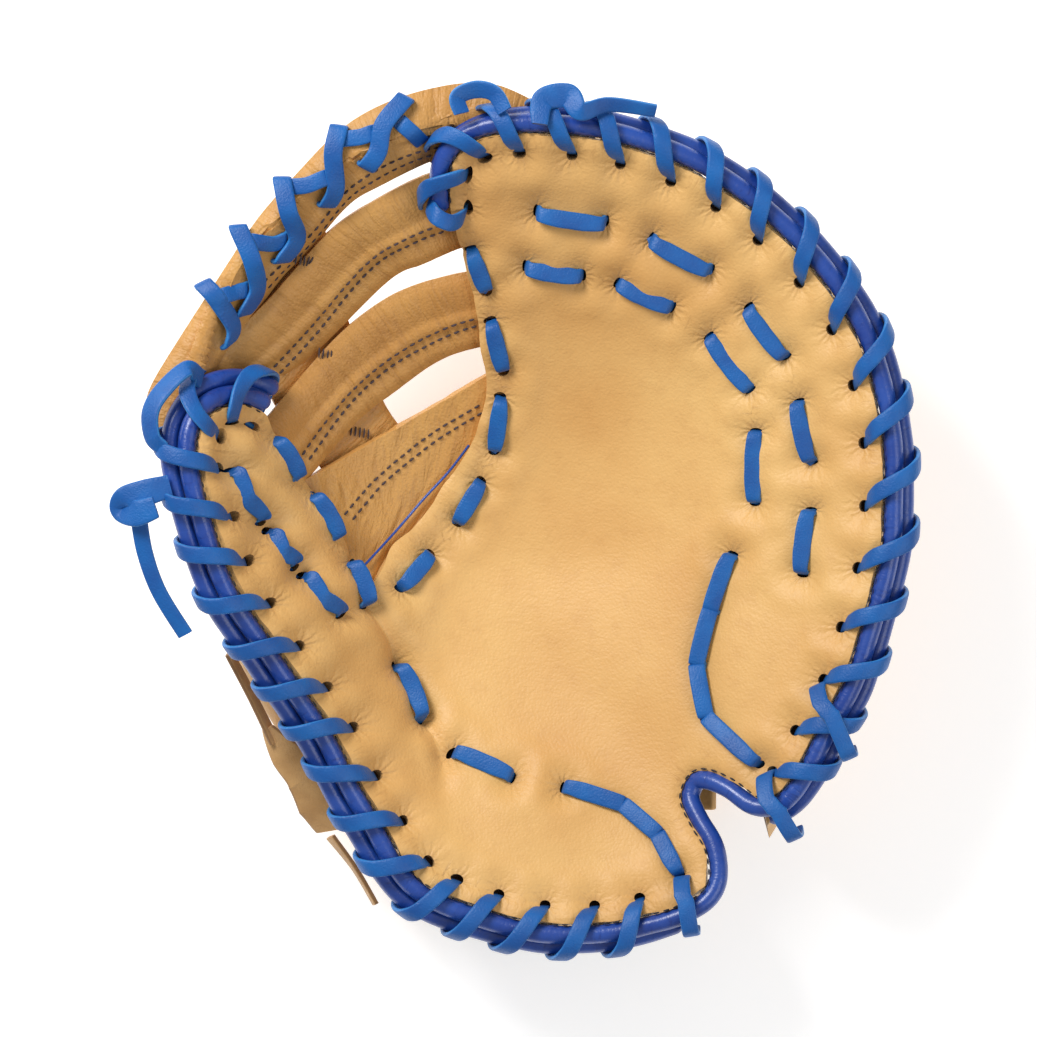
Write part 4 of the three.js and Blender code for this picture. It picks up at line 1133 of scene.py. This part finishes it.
plan = laid_on_dish(palm)
centres = np.array([row[0] for row in holes])
apart = np.linalg.norm(plan[:, None] - centres[None], axis=2)
nearest = apart.argmin(1)
first, second = np.sort(apart, axis=1)[:, :2].T
clear = np.clip((second - first) / 0.004, 0, 1)
gather = clear * np.clip((first - 0.001) / 0.002, 0, 1) * np.clip((0.0085 - first) / 0.004, 0, 1)
offset = np.column_stack([plan - centres[nearest], np.zeros(len(plan))])
rim_gap, rim_index = nearest_on(plan, outline)
rim_place = np.column_stack([rim_index * SPACING, rim_gap, np.zeros(len(plan))])
near_rim = np.clip(1 - rim_gap / 0.007, 0, 1) * np.clip(rim_gap / 0.0005, 0, 1)
keep_values(palm, "from_hole", "FLOAT_VECTOR", "vector", offset)
keep_values(palm, "gather", "FLOAT", "value", gather)
keep_values(palm, "rim_place", "FLOAT_VECTOR", "vector", rim_place)
keep_values(palm, "near_rim", "FLOAT", "value", near_rim)
palm.data.materials.append(tan_leather)
palm.data.materials.append(lining)
edit(palm, lambda: bpy.ops.mesh.normals_make_consistent(inside=False))
if palm.data.polygons[0].normal.z < 0:
    edit(palm, bpy.ops.mesh.flip_normals)
modify(palm, "SOLIDIFY", thickness=PALM_THICKNESS, offset=0.0, material_offset=1)
soften(palm, 75)
place_in_frame(palm, tan_leather, "tan_leather", "palm_panel")

# The lining under the front leather, left without holes: it is the real lining, and its dark colour
# also fills every lace hole as painted shade.
under = sheet_with_holes("palm_lining_and_hole_shade", grown(outline, -0.0012), [], 0.0035)
laid_on_dish(under, PALM_THICKNESS / 2 + GAP)
modify(under, "SOLIDIFY", thickness=0.0005, offset=0.0)
soften(under, 75)
place_in_frame(under, lining, "tan_leather")

# %% [markdown]
# ## The back of the mitt
# The back is a soft shell from the rim down to the floor, where it lies flat. Rings of a grid
# follow its profile, the finger stalls press out as ridges between sewn grooves, and boolean
# cutters open the web, the notch and the wrist, as the pattern pieces of the real hide do.

# %% Shell of the back
# Profile from the rim to the floor: share of the rim's reach, share of the bulge, share of height
BACK_PROFILE = np.array([
    (1.0, 0.0, 0.965), (1.0, 0.1, 0.93), (1.0, 0.35, 0.8), (1.0, 1.0, 0.58), (0.93, 0.5, 0.28),
    (0.8, 0.0, 0.06), (0.6, 0.0, 0.0), (0.4, 0.0, 0.0), (0.2, 0.0, 0.0), (0.0, 0.0, 0.0),
])
GROOVES = [(-0.02, 0.42), (0.34, 0.3), (0.62, 0.02), (0.66, -0.3)]
HAND = (0.1, -0.42)


def polar(angle, share, out):
    """Plan point at an angle and share of the rim's distance, moved outwards."""
    reach = share * rim_value(angle, "reach")
    x = (POCKET[0] + reach * np.cos(angle)) * HALF_WIDTH
    y = (POCKET[1] + reach * np.sin(angle)) * HALF_LENGTH
    away = unit(np.column_stack([np.cos(angle) * HALF_WIDTH, np.sin(angle) * HALF_LENGTH]))
    return np.column_stack([x, y]) + away * np.asarray(out).reshape(-1, 1)


def groove_lines():
    """Seams of the back, each from the hand to the rim, in plan."""
    lines = []
    start = np.array(HAND) * (HALF_WIDTH, HALF_LENGTH)
    for u, v in GROOVES:
        end = np.array((u, v)) * (HALF_WIDTH, HALF_LENGTH)
        way = unit(end - start)
        lines.append((start + way * 0.03, start + way * 0.25))
    return lines


def back_point(s, t):
    """s runs round the shell, t from the rim down to the middle of the floor."""
    angle = 2 * np.pi * s
    place = t * (len(BACK_PROFILE) - 1)
    profile = through(BACK_PROFILE, 901)[np.rint(place * 100).astype(int)]
    bulge = rim_value(angle, "bulge") * (FRONT_ROLL[0] + ROLL_STEP + ROLL_RADIUS)
    plan = polar(angle, profile[:, 0], profile[:, 1] * bulge)
    rim = RIM_HEIGHT * rim_value(angle, "rise") - PALM_THICKNESS / 2
    height = np.maximum(0, profile[:, 2] * rim)
    side = np.clip(profile[:, 2] / 0.5, 0, 1) * np.clip((0.97 - profile[:, 2]) / 0.2, 0, 1)
    inward = np.zeros(len(s))
    for start, end in groove_lines():
        inward += 0.0045 * hump(away_from(plan, start, end), 0.0065)
    centre = polar(angle, np.zeros(len(s)), 0)
    away = plan - centre
    away = away / np.maximum(1e-6, np.linalg.norm(away, axis=1))[:, None]
    plan = plan - away * (inward * side)[:, None]
    lift = inward * (1 - side) * 0.35 * np.clip((0.3 - profile[:, 2]) / 0.2, 0, 1)
    return np.column_stack([plan, height + lift])


back = moulded("back_leather", 288, 90, back_point)
edit(back, lambda: bpy.ops.mesh.remove_doubles(threshold=0.0002))
edit(back, lambda: bpy.ops.mesh.normals_make_consistent(inside=False))
lowest = min(back.data.polygons, key=lambda face: face.center.z)
if lowest.normal.z > 0:
    edit(back, bpy.ops.mesh.flip_normals)
back.data.materials.append(back_leather)
back.data.materials.append(lining)
modify(back, "SOLIDIFY", thickness=SHELL_WALL, offset=-1.0, material_offset=1)


def cutter(points, low, high):
    """Upright prism over a plan outline, to cut with."""
    piece = new_piece("cutter", [(x, y, low) for x, y in points], [tuple(range(len(points)))])

    def extrude():
        bpy.ops.mesh.extrude_region_move(TRANSFORM_OT_translate={"value": (0, 0, high - low)})
        bpy.ops.mesh.select_all(action="SELECT")
        bpy.ops.mesh.normals_make_consistent(inside=False)

    edit(piece, extrude)
    return piece


def cut_away(piece, tool):
    """Takes a cutter away from a piece."""
    modify(piece, "BOOLEAN", operation="DIFFERENCE", object=tool, solver="EXACT")
    bpy.data.objects.remove(tool)


web_rows = FINGER_TIP[2:] + PALM_EDGE + THUMB_EDGE + THUMB_TIP[:3]
web_edge = smooth(web_rows, 19)
far_edge = metres([(-0.95, 0.55), (-0.7, 1.3), (-0.25, 1.3)])
web_opening = grown(np.concatenate([web_edge, far_edge]), WEB_TUCK)
cut_away(back, cutter(web_opening, -0.1, 0.2))
notch_opening = metres(NOTCH + [(0.609, -0.645), (0.75, -1.2), (0.45, -1.2)])
cut_away(back, cutter(notch_opening, -0.1, 0.2))
wrist_opening = metres([(-0.22, -1.3), (0.4, -1.3), (0.4, -0.42), (-0.22, -0.42)])
cut_away(back, cutter(wrist_opening, -0.1, 0.42 * RIM_HEIGHT))
print("Back shell:", len(back.data.polygons), "faces")


# %% Inner side of the stalls along the web
def back_floor(x, y):
    """Height of the outside of the back over plan points."""
    angle, share = from_pocket(x, y)
    rise = np.interp(share, [0.6, 0.8, 0.93, 1.0], [0, 0.06, 0.28, 0.58])
    return rise * RIM_HEIGHT * rim_value(angle, "rise")


def side_wall(name, rows):
    """Upright leather along the web opening, from the back to the front leather."""
    middle = evenly(through(beside_line(smooth(rows, 60), -WEB_TUCK - SHELL_WALL / 2), 600), 121)
    x, y = middle[:, 0], middle[:, 1]
    low = back_floor(x, y) + 0.0008
    high = dish_height(x, y) - PALM_THICKNESS / 2 - 0.0006
    along = directions(middle)
    outward = np.column_stack([along[:, 1], -along[:, 0]])

    def place(s, t):
        k = np.rint(s * 120).astype(int)
        swell = 0.0014 * np.sin(np.pi * t)
        plan = middle[k] + outward[k] * swell[:, None]
        return np.column_stack([plan, low[k] + (high[k] - low[k]) * t])

    wall = moulded(name, 120, 14, place)
    wall.data.materials.append(back_leather)
    modify(wall, "SOLIDIFY", thickness=SHELL_WALL * 0.8, offset=0.0)
    return wall


walls = [
    side_wall("palm_side_wall", FINGER_TIP[3:] + PALM_EDGE + THUMB_EDGE[:1]),
    side_wall("thumb_side_wall", THUMB_EDGE),
]
joined("back_leather", [back, *walls])
soften(back, 50)
place_in_frame(back, back_leather, "tan_leather", "back_shell")


# %% Wrist strap
def strap_point(s, t):
    u = -0.29 + 0.79 * s
    x = u * HALF_WIDTH
    y = -0.58 * HALF_LENGTH + (t - 0.5) * STRAP_WIDTH
    middle = np.full(len(x), -0.58 * HALF_LENGTH)
    z = back_floor(x, middle) + SHELL_WALL + GAP + STRAP_THICKNESS / 2
    return np.column_stack([x, y, z + 0.0006 * np.cos(2 * np.pi * (t - 0.5))])


strap = moulded("wrist_strap_leather", 60, 14, strap_point)
scale_uv(strap, 0.79 * HALF_WIDTH, STRAP_WIDTH)
modify(strap, "SOLIDIFY", thickness=STRAP_THICKNESS, offset=0.0)
modify(strap, "BEVEL", width=0.0007, segments=2, limit_method="ANGLE", angle_limit=0.8)
soften(strap, 60)
place_in_frame(strap, back_leather, "tan_leather", "wrist_strap")

# %% [markdown]
# ## The rolled binding
# The rim is bound with two round rolls of glossy blue leather. Each is a grid wrapped round a
# curve beside the rim. A row of short threads sews the front roll to the tan leather.

# %% Rolls
def roll(name, rim, out, up, nodes, steps, radius=ROLL_RADIUS):
    """A roll beside a rim; out and up are its place at each of steps + 1 shares."""
    shares = np.linspace(0, 1, steps + 1)
    at = rim.beside(shares, out, up)
    at = evenly(smoothed(at, 4), steps + 1)
    run = shares * rim.length
    at[:, 2] += 0.00018 * np.sin(run / 0.0083) * np.sin(run / 0.021)
    along = directions(at)
    side = unit(np.column_stack([along[:, 1], -along[:, 0], np.zeros(len(at))]))
    pinch = 1 + 0.03 * np.sin(run / 0.0029) * np.sin(run / 0.0117)
    piece = ribbon(name, at, side, 2 * radius, 2 * radius, 1.0, 18, pinch, True, True)
    soften(piece, 70)
    return place_in_frame(piece, blue_binding, "blue_binding", *nodes)


WHOLE_STEPS, SIDE_STEPS = 900, 400
front_nodes = ["thumb_binding_front", "notch_binding", "finger_binding_front"]
front_out = np.full(WHOLE_STEPS + 1, FRONT_ROLL[0])
roll("front_roll", whole_rim, front_out, 0.0, front_nodes, WHOLE_STEPS)
for name, rim, stack in (("finger", finger_rim, FINGER_STACK), ("thumb", thumb_rim, THUMB_STACK)):
    out, up = back_roll(stack, np.linspace(0, 1, SIDE_STEPS + 1))
    roll(name + "_roll_back", rim, out, up, [name + "_binding_back"], SIDE_STEPS)


# %% Thread along the rolls
def rim_threads(name, rim, pitch=0.0034):
    count = int(rim.length / pitch)
    shares = (np.arange(count) + 0.5) * pitch / rim.length
    half = 0.0011 / rim.length
    out = np.full(count, 0.0002)
    up = PALM_THICKNESS / 2 - 0.0002
    starts = rim.beside(shares - half, out, up)
    ends = rim.beside(shares + half, out, up)
    piece = stitches(name, starts, ends, np.tile([0, 0, 1.0], (count, 1)), 0.00035)
    return place_in_frame(piece, black_thread, "blue_binding")


rim_threads("rim_thread", whole_rim)

# %% [markdown]
# ## Laces
# A lace is a flat strip with rounded corners. Whipped laces wind round the rim through a hole
# at each turn, and running laces dive through the leather between the stretches that show.
# The narrow sides are cut rawhide, so an attribute marks them for the finish.

# %% Whipped laces
WHIP_OVER = ROLL_RADIUS + GAP + 1.35 * LACE_THICKNESS
WHIP_BESIDE = ROLL_RADIUS + GAP + 0.8 * LACE_THICKNESS
WHIP_BELOW = ROLL_RADIUS + GAP + 2.6 * LACE_THICKNESS
WHIP_SQUARE = 0.7


def squared(value):
    """A sine or cosine with its oval drawn towards a square."""
    return np.sign(value) * np.abs(value) ** WHIP_SQUARE


def mark_cut_edges(piece):
    """Marks the narrow sides of a wrapped ribbon, from its UV map."""
    width = read(piece.data.uv_layers.active.data, "uv", 2)[:, 1]
    corner = np.empty(len(piece.data.loops), int)
    piece.data.loops.foreach_get("vertex_index", corner)
    edge = np.zeros(len(piece.data.vertices))
    edge[corner] = np.abs(np.cos(2 * np.pi * width / width.max())) ** 6
    keep_values(piece, "cut_edge", "FLOAT", "value", edge)


def lace(name, at, side, *nodes, width=LACE_WIDTH, finish=blue_lace, slot="blue_lace", **more):
    """A finished lace along stations."""
    piece = ribbon(name, at, side, width, LACE_THICKNESS, **more)
    mark_cut_edges(piece)
    soften(piece, 75)
    return place_in_frame(piece, finish, slot, *nodes)


def whipped(name, rim, holes, stack, node):
    """A lace wound round the rim and its rolls, through a hole at each turn."""
    steps = 40
    holes = np.array(holes)
    k = np.arange((len(holes) - 1) * steps + 1) / steps
    hole = np.minimum(len(holes) - 2, k.astype(int))
    turn = 2 * np.pi * k
    onward = k - hole + WHIP_LEAN * (1 - np.cos(turn)) * 0.5
    share = holes[hole] + onward * (holes[hole + 1] - holes[hole])
    roll_out, roll_up = back_roll(stack, share)
    far = np.maximum(roll_out, FRONT_ROLL[0] + 0.3 * ROLL_STEP) + WHIP_BESIDE
    low = roll_up - WHIP_BELOW
    out = (far - HOLE_INSET) / 2 - (far + HOLE_INSET) / 2 * squared(np.cos(turn))
    up = (WHIP_OVER + low) / 2 + (WHIP_OVER - low) / 2 * squared(np.sin(turn))
    at = smoothed(rim.beside(share, out, up), 3)
    side = rim.direction(share, out, up)
    narrow = 1 - 0.18 * np.clip((np.cos(turn) - 0.6) / 0.4, 0, 1)
    return lace(name, at, side, node, wide=narrow)


whipped("finger_whipping", finger_rim, FINGER_HOLES, FINGER_STACK, "finger_edge_lace")
whipped("thumb_whipping", thumb_rim, THUMB_HOLES, THUMB_STACK, "thumb_edge_lace")


# %% Strips crossed over the whipping
for k, row in enumerate(CROSSED):
    points = metres(row)
    way = unit(points[-1] - points[0])
    handles = [(*points[0], -0.003), (*(points[0] + way * 0.0012), 0.0034)]
    handles += [(*points[1], WHIP_OVER + LACE_THICKNESS)]
    handles += [(*points[2], WHIP_OVER + 0.5 * LACE_THICKNESS)]
    handles += [(*(points[2] + way * 0.0016), 0.0005), (*(points[2] + way * 0.0002), -0.005)]
    path = evenly(through(np.array(handles), 800), 60)
    at = over_dish(path[:, :2], path[:, 2])
    side = np.tile([-way[1], way[0], 0.0], (len(at), 1))
    lace(f"crossed_strip_{k}", at, side)


# %% Running laces
BOWED = {"thumb_lace": 0.0022}


def running(name):
    """Over the leather along each row, and under it between the rows."""
    over = PALM_THICKNESS / 2 + 0.5 * LACE_THICKNESS
    under = -PALM_THICKNESS / 2 - GAP - LACE_THICKNESS
    handles = []
    table = dash_table(name)
    bow = BOWED.get(name, 0)
    for k, (start, end, meets_last, meets_next) in enumerate(table):
        way = unit(end - start)
        if meets_last:
            handles += [(*(start + way * 0.0007), over - 0.0002, 1.0)]
        else:
            handles += [(*start, under, 0.7), (*(start + way * 0.0002), 0.0, 0.72)]
            handles += [(*(start + way * 0.0012), over - 0.0003, 0.86)]
        across = np.array([way[1], -way[0]])
        for share in (0.3, 0.5, 0.7):
            middle = start + (end - start) * share + across * bow * (1 - abs(2 * share - 1))
            handles += [(*middle, over + 0.0003, 1.04)]
        if meets_next:
            handles += [(*(end - way * 0.0007), over - 0.0002, 1.0)]
            handles += [(*end, over - 0.0022, 0.94)]
        else:
            handles += [(*(end - way * 0.0012), over - 0.0003, 0.86)]
            handles += [(*(end - way * 0.0002), 0.0, 0.72), (*end, under, 0.7)]
        if k + 1 < len(table) and not meets_next:
            handles += [(*((end + table[k + 1][0]) / 2), under - 0.001, 0.9)]
    path = evenly(through(np.array(handles), 6000), 90 * len(table) + 1)
    along = directions(path[:, :2])
    at = over_dish(path[:, :2], path[:, 2])
    side = np.column_stack([-along[:, 1], along[:, 0], np.zeros(len(at))])
    return lace(name + "_strip", at, side, name, wide=path[:, 3])


for name in RUNNING:
    running(name)

# %% [markdown]
# ## The web
# Three bars and a broad base join the thumb to the palm, with a post behind them. Each is a
# sheet that follows the dish, crowned along its middle where cord lies under the leather, with
# a line of stitches on each side of the crown.

# %% Web sheets
def row_curves(rows):
    """Both edges and the drop of a web sheet, in 400 steps along it."""
    table = np.array(rows)
    scale = (HALF_WIDTH, HALF_LENGTH, HALF_WIDTH, HALF_LENGTH, PALM_THICKNESS)
    curves = smoothed(through(table * scale, 401), 16)
    return curves[:, :2], curves[:, 2:4], curves[:, 4]


def on_sheet(rows, s, t, lift=0.0):
    """Points of a web sheet, s along it, t from its outer to its inner edge."""
    outer, inner, drop = row_curves(rows)
    k = np.clip(s * 400, 0, 400)
    steps = np.arange(401)
    outer, inner = looked_up(k, steps, outer), looked_up(k, steps, inner)
    place = outer * (1 - t)[:, None] + inner * t[:, None]
    return over_dish(place, lift - np.interp(k, steps, drop))


def sheet_place(rows, points):
    """Share along and across a web sheet of plan points."""
    grid = np.meshgrid(np.linspace(0, 1, 301), np.linspace(-0.4, 1.4, 91))
    s, t = grid[0].ravel(), grid[1].ravel()
    grid = on_sheet(rows, s, t)[:, :2]
    nearest = [np.linalg.norm(grid - point, axis=1).argmin() for point in points]
    return s[nearest], t[nearest]


def profile(crown, t, width):
    """How far a sheet's upper side stands over its plain surface."""
    lift = np.zeros(len(t))
    for middle, height, spread in crown:
        lift += height * hump(t - middle, spread)
    return lift - 0.0013 * hump(np.minimum(t, 1 - t) * width, 0.0016)


def web_sheet(name, rows, node, crown, along=150, across=22, wrinkle=0.0, swap=False, reach=1.0):
    """crown is (place across, height, spread) of each raised line along the sheet."""
    rng = np.random.default_rng(7)
    phases = rng.uniform(0, 2 * np.pi, 7)
    outer, inner, _ = row_curves(rows)
    length = distances((outer + inner) / 2)[-1]
    width = np.linalg.norm(outer - inner, axis=1).mean()

    def place(s, t):
        lift = profile(crown, t, width)
        edge = np.minimum(t, 1 - t) * width
        run, cross = (t * width, s * length) if swap else (s * length, t * width)
        for k, phase in enumerate(phases):
            wave = np.sin(run / (0.0007 + 0.0003 * k) + phase + 130 * cross * (1 + k % 3))
            lift += wrinkle * wave * np.clip(edge / 0.004, 0, 1) / 3
        return on_sheet(rows, s, t * reach, lift)

    piece = moulded(name, along, across, place)
    scale_uv(piece, length, width, swap)
    modify(piece, "SOLIDIFY", thickness=WEB_THICKNESS, offset=0.0)
    modify(piece, "BEVEL", width=0.0008, segments=2, limit_method="ANGLE", angle_limit=0.9)
    soften(piece, 60)
    return place_in_frame(piece, web_leather, "web_leather", node)


def seam(name, rows, points, offset, crown, reach, finish, pitch=0.003):
    """A line of stitches along a web sheet, beside a plan curve."""
    line = evenly(through(metres(points), 600), 200)
    line = beside_line(line, offset)
    count = int(distances(line)[-1] / pitch)
    line = evenly(line, count + 1)
    s, t = sheet_place(rows, line)
    s, t = smoothed(s, 2), smoothed(t, 2)
    outer, inner, _ = row_curves(rows)
    width = np.linalg.norm(outer - inner, axis=1).mean()
    lift = WEB_THICKNESS / 2 + profile(crown, t / reach, width) + 0.0001
    at = on_sheet(rows, s, t, lift)
    gap = 0.16 * (at[1:] - at[:-1])
    up = dish_normal(at[:-1, 0], at[:-1, 1])
    piece = stitches(name, at[:-1] + gap, at[1:] - gap, up, 0.00042)
    return place_in_frame(piece, finish, "web_leather")


TOP_CROWN = [(0.8, 0.0009, 0.09), (0.35, 0.0012, 0.3)]
MIDDLE_CROWN = [(0.57, 0.0011, 0.07), (0.25, 0.0009, 0.22)]
BASE_CROWN = [(0.5, 0.0006, 0.4)]
SHEETS = {
    "web_top_bar": (TOP_BAR, TOP_CROWN, 420, 26, 0.00009, False, 1.28),
    "web_bar_2": (SECOND_BAR, MIDDLE_CROWN, 380, 26, 0.00011, False, 1.0),
    "web_bar_3": (THIRD_BAR, MIDDLE_CROWN, 380, 26, 0.00011, False, 1.0),
    "web_base": (WEB_BASE, BASE_CROWN, 90, 220, 0.00012, True, 1.0),
    "web_post": (POST[1:], BASE_CROWN, 220, 24, 0.00006, False, 1.0),
}
SEAM_APART = 0.0014
for name, (rows, crown, along, across, wrinkle, swap, reach) in SHEETS.items():
    leather = name.replace("web_", "web_leather_")
    web_sheet(leather, rows, name, crown, along, across, wrinkle, swap, reach)
for name, points in SEAMS.items():
    rows, crown, reach = SHEETS[name][0], SHEETS[name][1], SHEETS[name][-1]
    for k, offset in enumerate((-SEAM_APART, SEAM_APART)):
        seam(f"{name}_seam_{k}", rows, points, offset, crown, reach, dark_thread)


# %% Tacks across the post
def tacks():
    """Short slanted stitches, five in each place."""
    starts, ends = [], []
    for name, u, v in TACKS:
        rows = SHEETS[name][0]
        middle = np.array([u * HALF_WIDTH, v * HALF_LENGTH])
        at = middle + np.outer(np.arange(-2, 3), (0.0014, -0.0003))
        for way, found in ((1, starts), (-1, ends)):
            s, t = sheet_place(rows, at + np.array([0.0003, 0.0019]) * way)
            found.append(on_sheet(rows, s, t, WEB_THICKNESS / 2 + 0.0012))
    starts, ends = np.concatenate(starts), np.concatenate(ends)
    up = dish_normal(starts[:, 0], starts[:, 1])
    piece = stitches("post_tacks", starts, ends, up, 0.00034)
    return place_in_frame(piece, dark_thread, "web_leather")


tacks()


# %% Cord beside the palm's edge
def edge_cord():
    line = evenly(through(metres(EDGE_CORD), 400), 120)
    at = over_dish(line, -0.0004)
    side = np.tile([1.0, 0.0, 0.0], (len(at), 1))
    piece = ribbon("edge_piping", at, side, 0.0009, 0.0009, 1.0, 8, upright=True)
    soften(piece, 70)
    return place_in_frame(piece, blue_binding, "blue_binding")


edge_cord()


# %% Lace round the top bar
def over_bar(name, row, rise, width):
    """A strip over the top bar, which goes round its edge or through it at both ends."""
    points = metres(row)
    s, t = sheet_place(TOP_BAR, points)
    outer, inner, _ = row_curves(TOP_BAR)
    breadth = np.linalg.norm(outer - inner, axis=1).mean()
    lift = rise + profile(TOP_CROWN, np.clip(t, 0.1, 0.9), breadth)
    over = on_sheet(TOP_BAR, s, t, lift)
    normal = dish_normal(points[:, 0], points[:, 1])
    first, last = unit(over[0] - over[1]), unit(over[-1] - over[-2])
    handles = [over[0] + 0.0008 * first - normal[0] * 0.0052]
    handles += [over[0] + 0.0014 * first - normal[0] * 0.0018, *over]
    handles += [over[-1] + 0.0014 * last - normal[-1] * 0.0016]
    handles += [over[-1] + 0.001 * last - normal[-1] * 0.004]
    at = evenly(through(np.array(handles), 600), 70)
    nearest = np.linalg.norm(at[:, None] - over[None], axis=2).argmin(1)
    side = unit(np.cross(smoothed(normal[nearest], 8), unit(over[-1] - over[0])))
    piece = ribbon(name, at, side, width, LACE_THICKNESS, upright=True)
    mark_cut_edges(piece)
    soften(piece, 75)
    return piece


rise = WEB_THICKNESS / 2 + LACE_THICKNESS / 2 + GAP
strips = [over_bar("strip", row, rise, 0.0054) for row in BAR_CROSSINGS]
strips += [over_bar("strip", row, rise + LACE_THICKNESS, 0.0062) for row in BAR_LACES]
web_lacing = joined("web_lacing", strips)
place_in_frame(web_lacing, blue_lace, "blue_lace", "web_bar_lace")


# %% Loops, knots and tails
def free_stations(rows, steps):
    table = np.array(rows)
    handles = over_dish(table[:, :2] * (HALF_WIDTH, HALF_LENGTH), table[:, 2] * 2 * ROLL_RADIUS)
    at = through(handles, steps + 1)
    along = directions(at)
    place = np.linspace(0, len(rows) - 1, steps + 1)
    tilt = np.interp(place, range(len(rows)), table[:, 3]) * np.pi / 2
    wide = np.interp(place, range(len(rows)), table[:, 4])
    flat = unit(np.cross([0, 0, 1.0], along))
    upright = np.cross(along, flat)
    side = flat * np.cos(tilt)[:, None] + upright * np.sin(tilt)[:, None]
    return at, side, wide


def free_lace(name, rows, *nodes):
    """A lace along free stations, tan where it belongs to the strap."""
    at, side, wide = free_stations(rows, 24 * (len(rows) - 1))
    more = {"width": TAIL_WIDTH, "wide": wide}
    if name.startswith("strap"):
        more |= {"finish": suede_lace, "slot": "suede_lace"}
    return at, lace(name + "_strip", at, side, *nodes, **more)


for name, rows in FREE.items():
    free_lace(name, rows, name)
for name, rows in TAILS.items():
    path, tail = free_lace(name, rows)
    path = path - CENTRE

# %% [markdown]
# ## Floor, light and camera
# The floor and the light are plain and soft, so that only the leather draws the eye. The
# camera looks straight down from far away with a long lens, as the photograph was taken.

# %% Floor
bpy.ops.object.select_all(action="DESELECT")
bpy.ops.mesh.primitive_plane_add(size=8, location=(0, 0, -0.0002))
floor = bpy.context.object
floor.name = "floor"
pale = Finish("pale_floor", roughness=0.9)
pale.set(Base_Color=(0.9, 0.9, 0.9, 1.0), Emission_Color=(1.0, 1.0, 1.0, 1.0), Emission_Strength=0.45)
floor.data.materials.append(pale.material)


# %% Light
def lamp(name, place, size, watts):
    bpy.ops.object.light_add(type="AREA", location=place)
    light = bpy.context.object
    light.name = name
    light.data.energy = watts
    light.data.size = size
    light.rotation_euler = (-Vector(place)).to_track_quat("-Z", "Y").to_euler()
    return light


lamp("key", (-0.6, 0.7, 0.95), 0.5, 15)
lamp("fill", (0.8, -0.35, 1.1), 0.8, 4.5)
world = bpy.data.worlds.new("studio")
bpy.context.scene.world = world
world.use_nodes = True
world.node_tree.nodes["Background"].inputs["Color"].default_value = (1, 1, 1, 1)
world.node_tree.nodes["Background"].inputs["Strength"].default_value = 0.38

# %% Camera
DISTANCE = 3.0
SHARP_HEIGHT = 0.075
PICTURE = 1037 * 0.00033
bpy.ops.object.camera_add(location=(-CENTRE[0], -CENTRE[1], SHARP_HEIGHT + DISTANCE))
camera = bpy.context.object
camera.data.sensor_width = 36
camera.data.lens = 36 * DISTANCE / PICTURE
camera.data.clip_start = 0.1
camera.data.clip_end = 20
bpy.context.scene.camera = camera
bpy.context.scene.view_settings.view_transform = "Standard"
